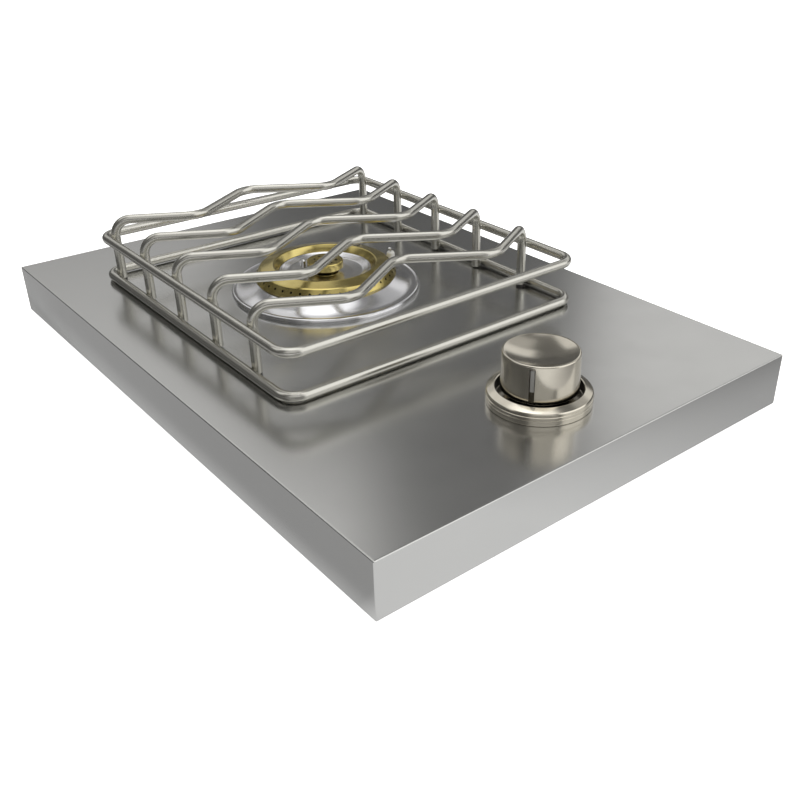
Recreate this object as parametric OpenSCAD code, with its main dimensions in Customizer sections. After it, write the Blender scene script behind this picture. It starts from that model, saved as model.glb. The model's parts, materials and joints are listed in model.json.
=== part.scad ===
// Single gas hob burner: a shallow folded deck with a lift-off wire grate, a brass ring burner and one
// push-and-turn valve knob.
// +Z is up, +Y points to the back, and z = 0 is the surface that the feet stand on. Millimetres.

/* [Deck] */
// Width of the deck from side to side
deck_w = 318; // [300:1:340]
// Depth of the deck from front to back
deck_d = 457; // [445:1:480]
// Height of the deck's skirts
deck_h = 35; // [35:1:45]
// Thickness of the folded deck sheet
sheet = 1.2; // [1:0.1:1.5]

/* [Grate] */
// Diameter of the grate's rods
rod_d = 6.35; // [5:0.05:7]
// Distance between the centrelines of the loops' two side rails
grate_w = 230; // [215:1:240]
// Distance between the centrelines of the loops' front and back rails
grate_d = 254; // [240:1:260]
// Bend radius at the loops' corners, to the centreline
loop_bend = 12; // [10:1:25]
// Height of the upper loop's centreline above the deck
upper_rise = 31.8; // [28:0.1:36]
// Height of the bars' centreline above the deck
bar_rise = 45.6; // [42:0.1:52]
// Distance from one bar to the next
bar_pitch = 49; // [44:0.5:50]
// How far each bar's two front bends swing forward of its legs
bar_swing = 30; // [15:1:32]

/* [Burner] */
// Distance from the deck's front edge to the burner's axis
burner_from_front = 277; // [270:1:285]
// Radius of the polished dish
dish_r = 68; // [62:1:72]
// Outside radius of the brass ring
ring_r = 50.9; // [50:0.1:52]
// Number of flame ports round the brass ring
ring_ports = 45; // [24:1:48]
// Number of flame ports in the centre burner
centre_ports = 8; // [6:1:12]

/* [Knob] */
// Distance from the deck's front edge to the knob's axis
knob_from_front = 57.5; // [52:0.5:62]
// Radius of the knob at its foot
knob_r = 22.9; // [20:0.1:24]
// Height of the knob
knob_h = 23.3; // [21:0.1:26]
// Radius of the raised bezel ring round the knob
bezel_r = 31.1; // [29:0.1:34]
// Height of the bezel ring's inner lip above the deck
bezel_h = 9.4; // [8:0.1:10]
// Direction that the knob's pointer faces at rest, from the right-hand side anticlockwise
pointer_angle = 213; // [0:1:359]

/* [Gas inlet] */
// How far the threaded inlet reaches behind the deck
inlet_reach = 16; // [12:1:20]
// Radius of the inlet's thread
inlet_r = 8; // [7:0.1:8.5]

/* [Hidden] */
$fn = 48;

// Cutting tools run this far past a face that they cut through
cut = 1;
// Radial clearance of a running fit, and of a joint that is brazed, glued or clamped
fit = 0.08;
slip = 0.05;
// A bend is this much slimmer than the straights that it joins, and runs this far into each of them
bend_ease = 0.02;
bend_lap = 0.15;

// --- heights and plan positions ---
foot_gap = 0.5;
deck_z = foot_gap + deck_h;
under_z = deck_z - sheet;
front_y = -(deck_d + inlet_reach) / 2;
rear_y = front_y + deck_d;
middle_y = front_y + deck_d / 2;
burner_y = front_y + burner_from_front;
knob_y = front_y + knob_from_front;
cover_z = foot_gap + 3;
cover_t = 1.2;
floor_z = cover_z + cover_t;
bolt_hole_r = 2.65;
bolt_x = 118;
bolt_inset_y = 60;
cover_screw_inset = [9, 25];

// --- grate ---
rod_r = rod_d / 2;
weld_sink = 0.3;
grate_front_y = front_y + 141.5;
lower_z = deck_z + rod_r + 0.6;
upper_z = deck_z + upper_rise;
bar_z = deck_z + bar_rise;
leg_x = grate_w / 2 - rod_d + weld_sink;
leg_bend = 12;
bar_bend = 18;
bar_knee_x = 56;
bar_mid_swing = 6;
last_bar_y = front_y + 383;
bar_count = 5;
grate_foot_h = 1.6;

// --- burner ---
cup_r = 37.5;
cup_wall = 3;
base_floor_t = 6;
base_floor_z = deck_z - 21;
base_flange_r = 50;
base_screw_pcd_r = 42.5;
feed_z = base_floor_z + base_floor_t / 2;
outer_feed_x = -20;
feed_y = burner_y - 50;
feed_boss_r = 5;
port_bore_r = 1.5;
socket_depth = 8;
tube_r = 3;
ring_seat_z = deck_z + 9.3;
// Height above the deck of the ring's inner shoulder, and the radius of the wall above it
cup_seat_z = 13.2;
cup_seat_r = 33.2;
head_r = 13;
head_top_z = deck_z + 20.4;
centre_tube_top = deck_z + 7;
centre_bore_r = 6;
cap_r = 5.2;
cap_recess = 0.8;
electrode_r = 3;
electrode_x = 55;
electrode_y = burner_y - 5;
electrode_foot_z = under_z - 12;
probe_r = 2.2;
probe_x = -11.5;
probe_y = burner_y + 12;

// --- knob and valve ---
knob_z = deck_z + 8.8;
knob_top_z = knob_z + knob_h;
knob_dish = 3.3;
knob_taper = 0.5;
knob_wall = 2;
bezel_screw_x = 20;
stem_hole_r = 4.5;
pointer_back_r = knob_r - 1.9;
pointer_top_z = knob_top_z - 2.6;
hub_disc_z = knob_top_z - 8.5;
hub_disc_t = 3;
stem_r = 3;
stem_flat = 2.2;
stem_flat_z = deck_z + 12.2;
stem_top = deck_z + 24;
valve_port_z = 11;
valve_half = 14;
valve_half_y = 12;
boss_end = 24;
valve_bottom = 5.4;
valve_top = 20;
plug_r = 7;
plug_z = 7.2;
plug_h = 12;
bonnet_t = 1.5;
bonnet_screw = [11, 9];
bracket_screw_x = 8;
bracket_screw_z = 15.5;
gas_port_r = 1.8;
bracket_t = 1.5;
bonnet_top = 27;
collar_z = 30.2;
collar_r = 9.5;
lever_pin = [31, 28.1];
lever_pin_r = 0.8;
switch_left_x = 14.6;
switch_right_x = 34.2;
plunger_x = 22;
plunger_r = 1.3;

// --- inlet and ignition ---
inlet_x = -90;
inlet_z = 17;
inlet_tube_r = 4;
inlet_free = 10;
bulkhead_r = inlet_r + 1;
battery_x = 88;
battery_z = 19;
battery_r = 7.2;
battery_neck_r = 9.5;
battery_len = 50;
battery_back_y = rear_y + 3.1;
battery_front_y = battery_back_y - battery_len;
spark_back_y = rear_y - sheet;
spark_tube_end_y = spark_back_y - 55;
spark_front_y = spark_tube_end_y - 40;
spark_wall = 2;

// ---------- helpers ----------

function unit(v) = v / norm(v);

// Half of the turn at corner i of a path, in degrees
function half_turn(p, i) = acos(unit(p[i] - p[i - 1]) * unit(p[i + 1] - p[i])) / 2;

// The bend radius at corner i, from one radius for every corner or a list with one for each
function bend_at(bends, i) = is_list(bends) ? bends[i] : bends;

// Distance from corner i to where its bend starts and ends; nothing at the path's ends
function trim_at(p, i, bends) =
    (i == 0 || i == len(p) - 1) ? 0 : bend_at(bends, i) * tan(half_turn(p, i));

// A straight round rod from a to b
module rod(a, b, r) {
    d = b - a;
    translate(a)
        rotate([0, acos(d[2] / norm(d)), atan2(d[1], d[0])])
            cylinder(h = norm(d), r = r);
}

// The bend at corner i of a path: part of a torus that ends just inside the straights on both sides
module elbow(p, i, r, bend) {
    along = unit(p[i] - p[i - 1]);
    leave = unit(p[i + 1] - p[i]);
    turn = 2 * half_turn(p, i);
    axis = unit(cross(along, leave));
    inward = cross(axis, along);
    start = p[i] - along * bend * tan(half_turn(p, i));
    centre = start + inward * bend;
    lap = bend_lap / bend * 180 / PI;
    multmatrix([
        [-inward[0], along[0], axis[0], centre[0]],
        [-inward[1], along[1], axis[1], centre[1]],
        [-inward[2], along[2], axis[2], centre[2]],
        [0, 0, 0, 1]
    ])
        rotate([0, 0, -lap])
            rotate_extrude(angle = turn + 2 * lap)
                translate([bend, 0])
                    circle(r = r - bend_ease);
}

// A round rod that follows the points p, with the bend radii in bends
module bent_rod(p, r, bends) {
    for (i = [0 : len(p) - 2]) {
        along = unit(p[i + 1] - p[i]);
        rod(p[i] + along * trim_at(p, i, bends), p[i + 1] - along * trim_at(p, i + 1, bends), r);
    }
    for (i = [1 : len(p) - 2]) elbow(p, i, r, bend_at(bends, i));
}

// A hollow tube that follows the points p
module bent_tube(p, r, wall, bend) {
    last = len(p) - 1;
    longer = concat(
        [p[0] - unit(p[1] - p[0]) * cut],
        [for (i = [1 : last - 1]) p[i]],
        [p[last] + unit(p[last] - p[last - 1]) * cut]
    );
    difference() {
        bent_rod(p, r, bend);
        bent_rod(longer, r - wall, bend);
    }
}

// A cylinder whose axis runs from y1 to y2, at x and z
module y_cylinder(x, z, y1, y2, r) {
    rod([x, y1, z], [x, y2, z], r);
}

// A hexagonal nut on an axis along Y, with a round bore
module y_nut(x, z, y1, y2, across_flats, bore_r) {
    difference() {
        translate([x, y1, z])
            rotate([-90, 0, 0])
                cylinder(h = y2 - y1, r = across_flats / sqrt(3), $fn = 6);
        y_cylinder(x, z, y1 - cut, y2 + cut, bore_r);
    }
}

// The same nut on an axis along X, at y and z
module x_nut(y, z, x1, x2, across_flats, bore_r) {
    rotate([0, 0, -90]) y_nut(-y, z, x1, x2, across_flats, bore_r);
}

// A pan-head screw standing on its point, with the head's underside at z = 0 and the shank going up
module screw_up(shank_r, length, head_r, head_h) {
    translate([0, 0, -head_h]) cylinder(h = head_h, r = head_r);
    translate([0, 0, -cut / 2]) cylinder(h = length + cut / 2, r = shank_r);
}

// A slot with round ends, centred on the origin and running along X
module slot(length, width, h) {
    straight = length - width;
    translate([-straight / 2, -width / 2, 0]) cube([straight, width, h]);
    for (side = [-1, 1]) translate([side * straight / 2, 0, 0]) cylinder(h = h, r = width / 2);
}

// A coil spring standing on z = 0, as a polyhedron swept along its helix
module coil(radius, wire_r, turns, height) {
    sides = 8;
    steps = turns * 16;
    rise = height - 2 * wire_r;
    pitch_angle = atan2(rise, 360 * turns * PI / 180 * radius);
    points = [
        for (i = [0 : steps])
            let (a = 360 * turns * i / steps)
                for (k = [0 : sides - 1])
                    let (b = 360 * k / sides, out = wire_r * cos(b), up = wire_r * sin(b))
                        [
                            (radius + out) * cos(a) + up * sin(pitch_angle) * sin(a),
                            (radius + out) * sin(a) - up * sin(pitch_angle) * cos(a),
                            wire_r + rise * i / steps + up * cos(pitch_angle)
                        ]
    ];
    skin = [
        for (i = [0 : steps - 1])
            for (k = [0 : sides - 1])
                let (n = (k + 1) % sides)
                    [i * sides + k, (i + 1) * sides + k, (i + 1) * sides + n, i * sides + n]
    ];
    ends = [
        [for (k = [0 : sides - 1]) k],
        [for (k = [0 : sides - 1]) steps * sides + sides - 1 - k]
    ];
    polyhedron(points = points, faces = concat(skin, ends));
}

// Children repeated at the cover's screws, which sit in two rows along the side rails
module at_cover_screws() {
    x = deck_w / 2 - cover_screw_inset[0];
    step = (deck_d - 2 * cover_screw_inset[1]) / 3;
    for (side = [-1, 1])
        for (i = [0 : 3])
            translate([side * x, front_y + cover_screw_inset[1] + i * step, 0]) children();
}

// Children repeated at the four corners of the bolt pattern under the cover
module at_mount_bolts() {
    for (side = [-1, 1])
        for (end = [-1, 1])
            translate([side * bolt_x, middle_y + end * (deck_d / 2 - bolt_inset_y), 0]) children();
}

// Children repeated at the three screws that clamp dish, deck and burner base together
module at_base_screws() {
    for (a = [90, 210, 330])
        translate([base_screw_pcd_r * cos(a), burner_y + base_screw_pcd_r * sin(a), 0]) children();
}

// ---------- enclosure ----------

module deck_pan() {
    color("silver")
        difference() {
            translate([-deck_w / 2, front_y, foot_gap]) cube([deck_w, deck_d, deck_h]);
            translate([sheet - deck_w / 2, front_y + sheet, foot_gap - cut])
                cube([deck_w - 2 * sheet, deck_d - 2 * sheet, deck_h - sheet + cut]);
            translate([0, burner_y, under_z - cut]) cylinder(h = sheet + 2 * cut, r = cup_r + 0.5);
            translate([0, knob_y, under_z - cut]) cylinder(h = sheet + 2 * cut, r = stem_hole_r);
            for (side = [-1, 1])
                translate([side * bezel_screw_x, knob_y, under_z - cut])
                    cylinder(h = sheet + 2 * cut, r = 1.7);
            translate([0, 0, under_z - cut]) at_base_screws() cylinder(h = sheet + 2 * cut, r = 2.2);
            translate([electrode_x, electrode_y, under_z - cut])
                cylinder(h = sheet + 2 * cut, r = electrode_r + 0.3);
            y_cylinder(inlet_x, inlet_z, rear_y - sheet - cut, rear_y + cut, bulkhead_r + 0.3);
            y_cylinder(battery_x, battery_z, rear_y - sheet - cut, rear_y + cut, battery_neck_r + 0.3);
        }
}

module cover_rails() {
    rail_w = 16;
    rail_h = 12;
    rail_t = 1.2;
    rail_d = deck_d - 30;
    color("gainsboro")
        difference() {
            for (side = [0, 1])
                mirror([side, 0, 0])
                    translate([sheet - deck_w / 2, middle_y - rail_d / 2, floor_z]) {
                        cube([rail_w, rail_d, rail_t]);
                        cube([rail_t, rail_d, rail_h]);
                    }
            translate([0, 0, floor_z - cut]) at_cover_screws() cylinder(h = 4, r = 2);
        }
}

module bottom_cover() {
    edge = 0.3;
    color("gainsboro")
        difference() {
            translate([sheet + edge - deck_w / 2, front_y + sheet + edge, cover_z])
                cube([deck_w - 2 * (sheet + edge), deck_d - 2 * (sheet + edge), cover_t]);
            translate([0, 0, cover_z - cut]) {
                at_cover_screws() cylinder(h = 4, r = 2.15);
                at_mount_bolts() cylinder(h = 4, r = bolt_hole_r);
                for (i = [-4 : 4]) translate([0, burner_y + i * 11, 0]) slot(70, 4, 4);
                for (i = [-1 : 1]) translate([0, knob_y + 55 + i * 11, 0]) slot(70, 4, 4);
            }
        }
}

module cover_screws() {
    color("dimgray") translate([0, 0, cover_z]) at_cover_screws() screw_up(1.95, 6, 3.8, 2.2);
}

module clinch_nuts() {
    color("dimgray")
        translate([0, 0, floor_z])
            at_mount_bolts()
                difference() {
                    cylinder(h = 4, r = 5);
                    translate([0, 0, -cut]) cylinder(h = 4 + 2 * cut, r = bolt_hole_r);
                }
}

module rubber_feet() {
    inset = 26;
    color("black")
        for (side = [-1, 1])
            for (end = [-1, 1])
                translate([side * (deck_w / 2 - inset), middle_y + end * (deck_d / 2 - inset), 0]) {
                    cylinder(h = 1, r1 = 8, r2 = 9);
                    translate([0, 0, 1]) cylinder(h = cover_z - 1, r = 9);
                }
}

// ---------- grate ----------

// One closed rod loop with four round corners, centred at height z
module loop(z) {
    side = grate_w / 2;
    back_y = grate_front_y + grate_d;
    for (x = [-side, side])
        rod([x, grate_front_y + loop_bend, z], [x, back_y - loop_bend, z], rod_r);
    for (y = [grate_front_y, back_y])
        rod([loop_bend - side, y, z], [side - loop_bend, y, z], rod_r);
    for (c = [[1, 1, 0], [-1, 1, 90], [-1, -1, 180], [1, -1, 270]])
        translate([
            c[0] * (side - loop_bend),
            (c[1] > 0 ? back_y : grate_front_y) - c[1] * loop_bend,
            z
        ])
            rotate([0, 0, c[2]])
                rotate_extrude(angle = 90)
                    translate([loop_bend, 0])
                        circle(r = rod_r);
}

module lower_loop() {
    color("darkgray") loop(lower_z);
}

module upper_loop() {
    color("darkgray") loop(upper_z);
}

// One bar: two legs inside the loops and a level zig-zag between them. Bar 1 is at the back.
module grate_bar(number) {
    y = last_bar_y - (number - 1) * bar_pitch;
    outer_bar = number == 1 || number == bar_count;
    leg_end = deck_z + (outer_bar ? grate_foot_h : 0.8);
    knee_y = y - bar_swing;
    path = [
        [-leg_x, y, leg_end], [-leg_x, y, bar_z], [-bar_knee_x, knee_y, bar_z],
        [0, y + bar_mid_swing, bar_z],
        [bar_knee_x, knee_y, bar_z], [leg_x, y, bar_z], [leg_x, y, leg_end]
    ];
    color("darkgray") bent_rod(path, rod_r, [0, leg_bend, bar_bend, bar_bend, bar_bend, leg_bend, 0]);
}

module grate_feet() {
    color("black")
        for (number = [1, bar_count])
            for (side = [-1, 1])
                translate([side * leg_x, last_bar_y - (number - 1) * bar_pitch, deck_z])
                    cylinder(h = grate_foot_h, r = rod_r - 0.3);
}

// ---------- burner ----------

module drip_dish() {
    t = 0.9;
    seat = ring_seat_z - deck_z;
    hole_r = cup_r + 0.5;
    // the flared face falls from the ring's seat to a shallow valley inside the rim
    flare = [[50.4, seat - 0.6], [54, 6.3], [58, 4.4], [62, 3.1], [dish_r - 3.8, 2.7]];
    under = [[dish_r - 3.8, 1.8], [62, 2.2], [58, 3.4], [54, 5.3], [51.4, 7], [49.2, seat - t]];
    rim_top = [
        [dish_r - 2.6, 3], [dish_r - 1.8, 3.3], [dish_r - 0.8, 2.9], [dish_r - 0.2, 1.9], [dish_r, 0.6]
    ];
    rim_under = [[dish_r - 0.9, 0.6], [dish_r - 1.1, 1.7], [dish_r - 1.7, 2.3], [dish_r - 2.6, 2.1]];
    neck_top = [[hole_r, t], [46.5, t], [47, seat], [49.5, seat]];
    neck_under = [[47.9, seat - t], [47.4, 0], [hole_r, 0]];
    color("lightgray")
        translate([0, burner_y, deck_z])
            difference() {
                rotate_extrude() polygon(concat(neck_top, flare, rim_top, rim_under, under, neck_under));
                translate([0, -burner_y, -cut]) at_base_screws() cylinder(h = 3, r = 2.2);
                translate([electrode_x, electrode_y - burner_y, -cut])
                    cylinder(h = seat + 2 * cut, r = electrode_r + 0.4);
            }
}

module burner_base() {
    inside_z = base_floor_z + base_floor_t;
    rim_z = deck_z + 8.5;
    flange_t = 3.5;
    centre_post_r = 8.5;
    air_hole_r = 4.5;
    air_hole_pcd_r = 26;
    color("darkgray")
        difference() {
            union() {
                translate([0, burner_y, base_floor_z]) cylinder(h = rim_z - base_floor_z, r = cup_r);
                translate([0, burner_y, under_z - flange_t]) cylinder(h = flange_t, r = base_flange_r);
                for (x = [0, outer_feed_x])
                    y_cylinder(x, feed_z, feed_y, burner_y - cup_r * 0.8, feed_boss_r);
            }
            difference() {
                translate([0, burner_y, inside_z]) cylinder(h = rim_z, r = cup_r - cup_wall);
                translate([0, burner_y, inside_z - cut])
                    cylinder(h = centre_tube_top - inside_z + cut, r = centre_post_r);
            }
            translate([0, burner_y, inside_z]) cylinder(h = rim_z, r = centre_bore_r);
            for (x = [0, outer_feed_x]) {
                y_cylinder(x, feed_z, feed_y - cut, burner_y, port_bore_r);
                y_cylinder(x, feed_z, feed_y - cut, feed_y + socket_depth, tube_r + slip);
                translate([x, burner_y, feed_z]) cylinder(h = base_floor_t, r = 2.5);
            }
            for (a = [0, 45, 90, 180, -45])
                translate([air_hole_pcd_r * cos(a), burner_y + air_hole_pcd_r * sin(a), base_floor_z - cut])
                    cylinder(h = base_floor_t + 2 * cut, r = air_hole_r);
            translate([probe_x, probe_y, base_floor_z - cut])
                cylinder(h = base_floor_t + 2 * cut, r = probe_r + slip);
            translate([0, 0, under_z - flange_t - cut])
                at_base_screws() cylinder(h = flange_t + 2 * cut, r = 2);
        }
}

module base_screws() {
    head_h = 2;
    color("silver")
        translate([0, 0, deck_z + 0.9])
            at_base_screws()
                rotate([180, 0, 0]) screw_up(1.95, 5.5, 3.5, head_h);
}

module outer_ring() {
    z0 = ring_seat_z - deck_z;
    port_r = 0.85;
    outside = [
        [ring_r - 3.5, z0], [ring_r - 0.6, z0], [ring_r, z0 + 0.6], [ring_r, z0 + 1.3],
        [ring_r - 3.6, 16.2], [ring_r - 4.3, 16.7], [38.2, 18.4], [37.2, 18.6], [36.4, 18.4], [36, 17.8],
        [cup_seat_r, 14.2], [cup_seat_r, cup_seat_z]
    ];
    inside = [
        [cup_seat_r - 1.8, cup_seat_z], [cup_seat_r - 1.8, 11.6], [34.4, 11.6], [35.4, 13.4], [37.8, 16.8],
        [ring_r - 5.3, 15], [ring_r - 3.5, 11.6]
    ];
    color("goldenrod")
        difference() {
            translate([0, burner_y, deck_z]) rotate_extrude() polygon(concat(outside, inside));
            for (i = [0 : ring_ports - 1])
                translate([0, burner_y, deck_z])
                    rotate([0, 0, 360 * i / ring_ports])
                        rod([ring_r - 5.2, 0, 11.4], [ring_r, 0, 14.8], port_r);
        }
}

module inner_cup() {
    rim_r = cup_seat_r - 0.3;
    rim_z = cup_seat_z + 1.2;
    top = [[9.4, 11.4], [19, 11.4], [27, 12.1], [31, 13.6], [31.8, rim_z], [rim_r, rim_z]];
    bottom = [[rim_r, cup_seat_z], [31.2, cup_seat_z], [30.6, 12.4], [27, 11.1], [19, 10.4], [9.4, 10.4]];
    color("whitesmoke")
        difference() {
            translate([0, burner_y, deck_z]) rotate_extrude() polygon(concat(top, bottom));
            translate([probe_x, probe_y, deck_z + 9]) cylinder(h = 4, r = probe_r + 0.6);
        }
}

module inner_burner() {
    stem_len = 9;
    neck_r = 8.4;
    chamber_z = centre_tube_top + 9;
    port_pcd_r = 7.8;
    port_r = 1.05;
    color("gold")
        difference() {
            translate([0, burner_y, 0]) {
                translate([0, 0, centre_tube_top - stem_len])
                    cylinder(h = stem_len + cut, r = centre_bore_r - fit);
                translate([0, 0, centre_tube_top]) cylinder(h = 5.2, r = neck_r);
                translate([0, 0, centre_tube_top + 5]) cylinder(h = 3, r1 = neck_r, r2 = head_r);
                translate([0, 0, centre_tube_top + 8])
                    cylinder(h = head_top_z - centre_tube_top - 8.6, r = head_r);
                translate([0, 0, head_top_z - 0.6]) cylinder(h = 0.6, r1 = head_r, r2 = head_r - 0.6);
            }
            translate([0, burner_y, centre_tube_top - stem_len - cut])
                cylinder(h = chamber_z - centre_tube_top + stem_len + cut + 0.5, r = 4.6);
            translate([0, burner_y, chamber_z]) cylinder(h = 1.4, r = 10.5);
            translate([0, burner_y, head_top_z - cap_recess]) cylinder(h = 2, r = cap_r + 0.1);
            for (i = [0 : centre_ports - 1]) {
                a = 180 + 360 * i / centre_ports;
                translate([port_pcd_r * cos(a), burner_y + port_pcd_r * sin(a), chamber_z + 0.5])
                    cylinder(h = 6, r = port_r);
            }
        }
}

module inner_cap() {
    dome_r = 14;
    color("goldenrod")
        translate([0, burner_y, head_top_z - cap_recess])
            intersection() {
                cylinder(h = 4, r = cap_r);
                translate([0, 0, 2 - dome_r]) sphere(r = dome_r);
            }
}

// A gas jet: a threaded foot below a hexagonal body with a conical nose
module jet(orifice_r) {
    difference() {
        union() {
            translate([0, 0, -2.6]) cylinder(h = 2.8, r = 2.4);
            cylinder(h = 3.4, r = 4, $fn = 6);
            translate([0, 0, 3.2]) cylinder(h = 2.2, r1 = 2.8, r2 = 1.6);
        }
        translate([0, 0, -cut - 2.6]) cylinder(h = 7, r = 1.3);
        translate([0, 0, 3]) cylinder(h = 4, r = orifice_r);
    }
}

module outer_jet() {
    color("gold") translate([outer_feed_x, burner_y, base_floor_z + base_floor_t]) jet(0.5);
}

module inner_jet() {
    color("gold") translate([0, burner_y, base_floor_z + base_floor_t]) jet(0.35);
}

module electrode_ceramic() {
    tip_z = deck_z + 15;
    color("ivory")
        translate([electrode_x, electrode_y, 0])
            difference() {
                union() {
                    translate([0, 0, electrode_foot_z])
                        cylinder(h = tip_z - electrode_foot_z - 1, r = electrode_r);
                    translate([0, 0, tip_z - 1]) cylinder(h = 1, r1 = electrode_r, r2 = electrode_r - 0.8);
                    translate([0, 0, under_z - 2]) cylinder(h = 2, r = electrode_r + 1.2);
                }
                translate([0, 0, electrode_foot_z - cut]) cylinder(h = tip_z, r = 0.8);
            }
}

module electrode_wire() {
    color("gray")
        translate([electrode_x, electrode_y, electrode_foot_z - 4])
            cylinder(h = deck_z + 18.5 - electrode_foot_z + 4, r = 0.75);
}

// A flame sensor beside the centre burner, with its thin lead to the valve
module sensor_probe() {
    low_z = 7.4;
    foot_z = base_floor_z - 1.5;
    tip_z = deck_z + 20;
    x_end = -11;
    color("gray") {
        translate([probe_x, probe_y, foot_z]) cylinder(h = tip_z - 1.2 - foot_z, r = probe_r);
        translate([probe_x, probe_y, tip_z - 1.2]) cylinder(h = 1.2, r1 = probe_r, r2 = probe_r - 1);
        bent_rod([
            [probe_x, probe_y, foot_z + 1], [probe_x, probe_y, low_z], [probe_x, knob_y + 47, low_z],
            [x_end, knob_y + 26, 14], [x_end, knob_y + 12, 14]
        ], 1.2, 4);
    }
}

// ---------- knob ----------

// The pointer's slot, or a bar that fits in it, in a knob whose axis is at the origin
module pointer_bar(width, inner_r, outer_r, z1, z2) {
    rotate([0, 0, pointer_angle])
        intersection() {
            translate([inner_r - 2, -width / 2, z1]) cube([outer_r - inner_r + 4, width, z2 - z1]);
            difference() {
                translate([0, 0, z1]) cylinder(h = z2 - z1, r = outer_r);
                translate([0, 0, z1 - cut]) cylinder(h = z2 - z1 + 2 * cut, r = inner_r);
            }
        }
}

module knob_shell() {
    edge = 0.45;
    crown = 1.1;
    top_r = knob_r - knob_taper;
    dish_edge = top_r - crown - 0.1;
    ball_r = (dish_edge * dish_edge + knob_dish * knob_dish) / (2 * knob_dish);
    inside_top = hub_disc_z + hub_disc_t;
    color("lightgray")
        translate([0, knob_y, 0])
            difference() {
                union() {
                    translate([0, 0, knob_z]) cylinder(h = edge, r1 = knob_r - edge, r2 = knob_r);
                    translate([0, 0, knob_z + edge])
                        cylinder(h = knob_h - edge - crown, r1 = knob_r, r2 = top_r);
                    translate([0, 0, knob_top_z - crown])
                        cylinder(h = crown, r1 = top_r, r2 = top_r - crown);
                }
                translate([0, 0, knob_top_z - knob_dish + ball_r]) sphere(r = ball_r, $fn = 96);
                translate([0, 0, knob_z - cut])
                    cylinder(h = inside_top - knob_z + cut, r = top_r - knob_wall);
                pointer_bar(3.2, pointer_back_r, knob_r + 2, knob_z + 1.2, pointer_top_z + 0.4);
            }
}

module knob_hub() {
    shell_bore = knob_r - knob_taper - knob_wall;
    boss_z = knob_z + 0.6;
    bore_top = stem_top + 0.4;
    color("black")
        translate([0, knob_y, 0])
            difference() {
                union() {
                    translate([0, 0, hub_disc_z]) cylinder(h = hub_disc_t, r = shell_bore - slip);
                    translate([0, 0, boss_z]) cylinder(h = hub_disc_z - boss_z + 1, r = 6.5);
                    for (a = [0, 90])
                        rotate([0, 0, a])
                            translate([-15, -1, hub_disc_z - 4]) cube([30, 2, 5]);
                }
                difference() {
                    translate([0, 0, boss_z - cut])
                        cylinder(h = bore_top - boss_z + cut, r = stem_r + slip);
                    translate([stem_flat + slip, -5, stem_flat_z - 0.2]) cube([5, 10, 20]);
                }
            }
}

module knob_pointer() {
    color("darkgray")
        translate([0, knob_y, 0])
            pointer_bar(2.4, pointer_back_r, knob_r - 0.7, pointer_top_z - 13.4, pointer_top_z);
}

module bezel_ring() {
    foot = 0.8;
    bore_r = knob_r + 2.7;
    shoulder = bezel_h - 2;
    // the top rises from the shoulder to the inner lip
    profile = [
        [13, foot], [bezel_r - 0.3, foot], [bezel_r, foot + 0.4], [bezel_r, shoulder - 2.1],
        [bezel_r - 0.3, shoulder - 1.9], [bezel_r - 0.3, shoulder - 0.4], [bezel_r - 0.7, shoulder + 0.1],
        [bore_r + 0.4, bezel_h], [bore_r, bezel_h - 0.3], [bore_r, foot + 1.4], [13, foot + 1.4]
    ];
    color("lightgray")
        translate([0, knob_y, deck_z])
            difference() {
                rotate_extrude($fn = 96) polygon(profile);
                for (side = [-1, 1]) translate([side * bezel_screw_x, 0, 0]) cylinder(h = 1.9, r = 1.5);
            }
}

module bezel_gasket() {
    color("dimgray")
        translate([0, knob_y, deck_z])
            difference() {
                cylinder(h = 0.8, r = bezel_r - 0.6);
                translate([0, 0, -cut]) cylinder(h = 3, r = bezel_r - 7);
            }
}

module bezel_screws() {
    color("dimgray")
        for (side = [-1, 1])
            translate([side * bezel_screw_x, knob_y, under_z]) screw_up(1.45, 2.8, 2.8, 1.8);
}

// ---------- valve ----------

module valve_body() {
    color("darkkhaki")
        translate([0, knob_y, 0])
            difference() {
                union() {
                    translate([-valve_half, -valve_half_y, valve_bottom])
                        cube([2 * valve_half, 2 * valve_half_y, valve_top - valve_bottom]);
                    rod([-boss_end, 0, valve_port_z], [boss_end, 0, valve_port_z], 5.2);
                    rod([0, 0, valve_port_z], [0, boss_end, valve_port_z], 5.2);
                }
                translate([0, 0, plug_z - 0.2]) cylinder(h = valve_top, r = plug_r + fit);
                rod([-boss_end - cut, 0, valve_port_z], [boss_end + cut, 0, valve_port_z], gas_port_r);
                rod([0, 0, valve_port_z], [0, boss_end + cut, valve_port_z], gas_port_r);
                rod(
                    [-boss_end - cut, 0, valve_port_z],
                    [socket_depth - boss_end, 0, valve_port_z],
                    inlet_tube_r + slip
                );
                rod(
                    [boss_end - socket_depth, 0, valve_port_z],
                    [boss_end + cut, 0, valve_port_z],
                    tube_r + slip
                );
                rod(
                    [0, boss_end - socket_depth, valve_port_z],
                    [0, boss_end + cut, valve_port_z],
                    tube_r + slip
                );
                for (sx = [-1, 1])
                    for (sy = [-1, 1])
                        translate([sx * bonnet_screw[0], sy * bonnet_screw[1], valve_top - 5])
                            cylinder(h = 6, r = 1.35);
                for (sx = [-1, 1])
                    y_cylinder(sx * bracket_screw_x, bracket_screw_z, -valve_half_y - cut, -8, 1.6);
            }
}

module valve_plug() {
    socket = 4.3;
    color("peru")
        translate([0, knob_y, 0])
            difference() {
                translate([0, 0, plug_z]) cylinder(h = plug_h, r = plug_r);
                rod([0, 0, valve_port_z], [0, plug_r + cut, valve_port_z], gas_port_r);
                rod([-plug_r - cut, 0, valve_port_z], [0, 0, valve_port_z], gas_port_r);
                translate([-socket / 2, -socket / 2, 13.4]) cube([socket, socket, plug_h]);
            }
}

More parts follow.
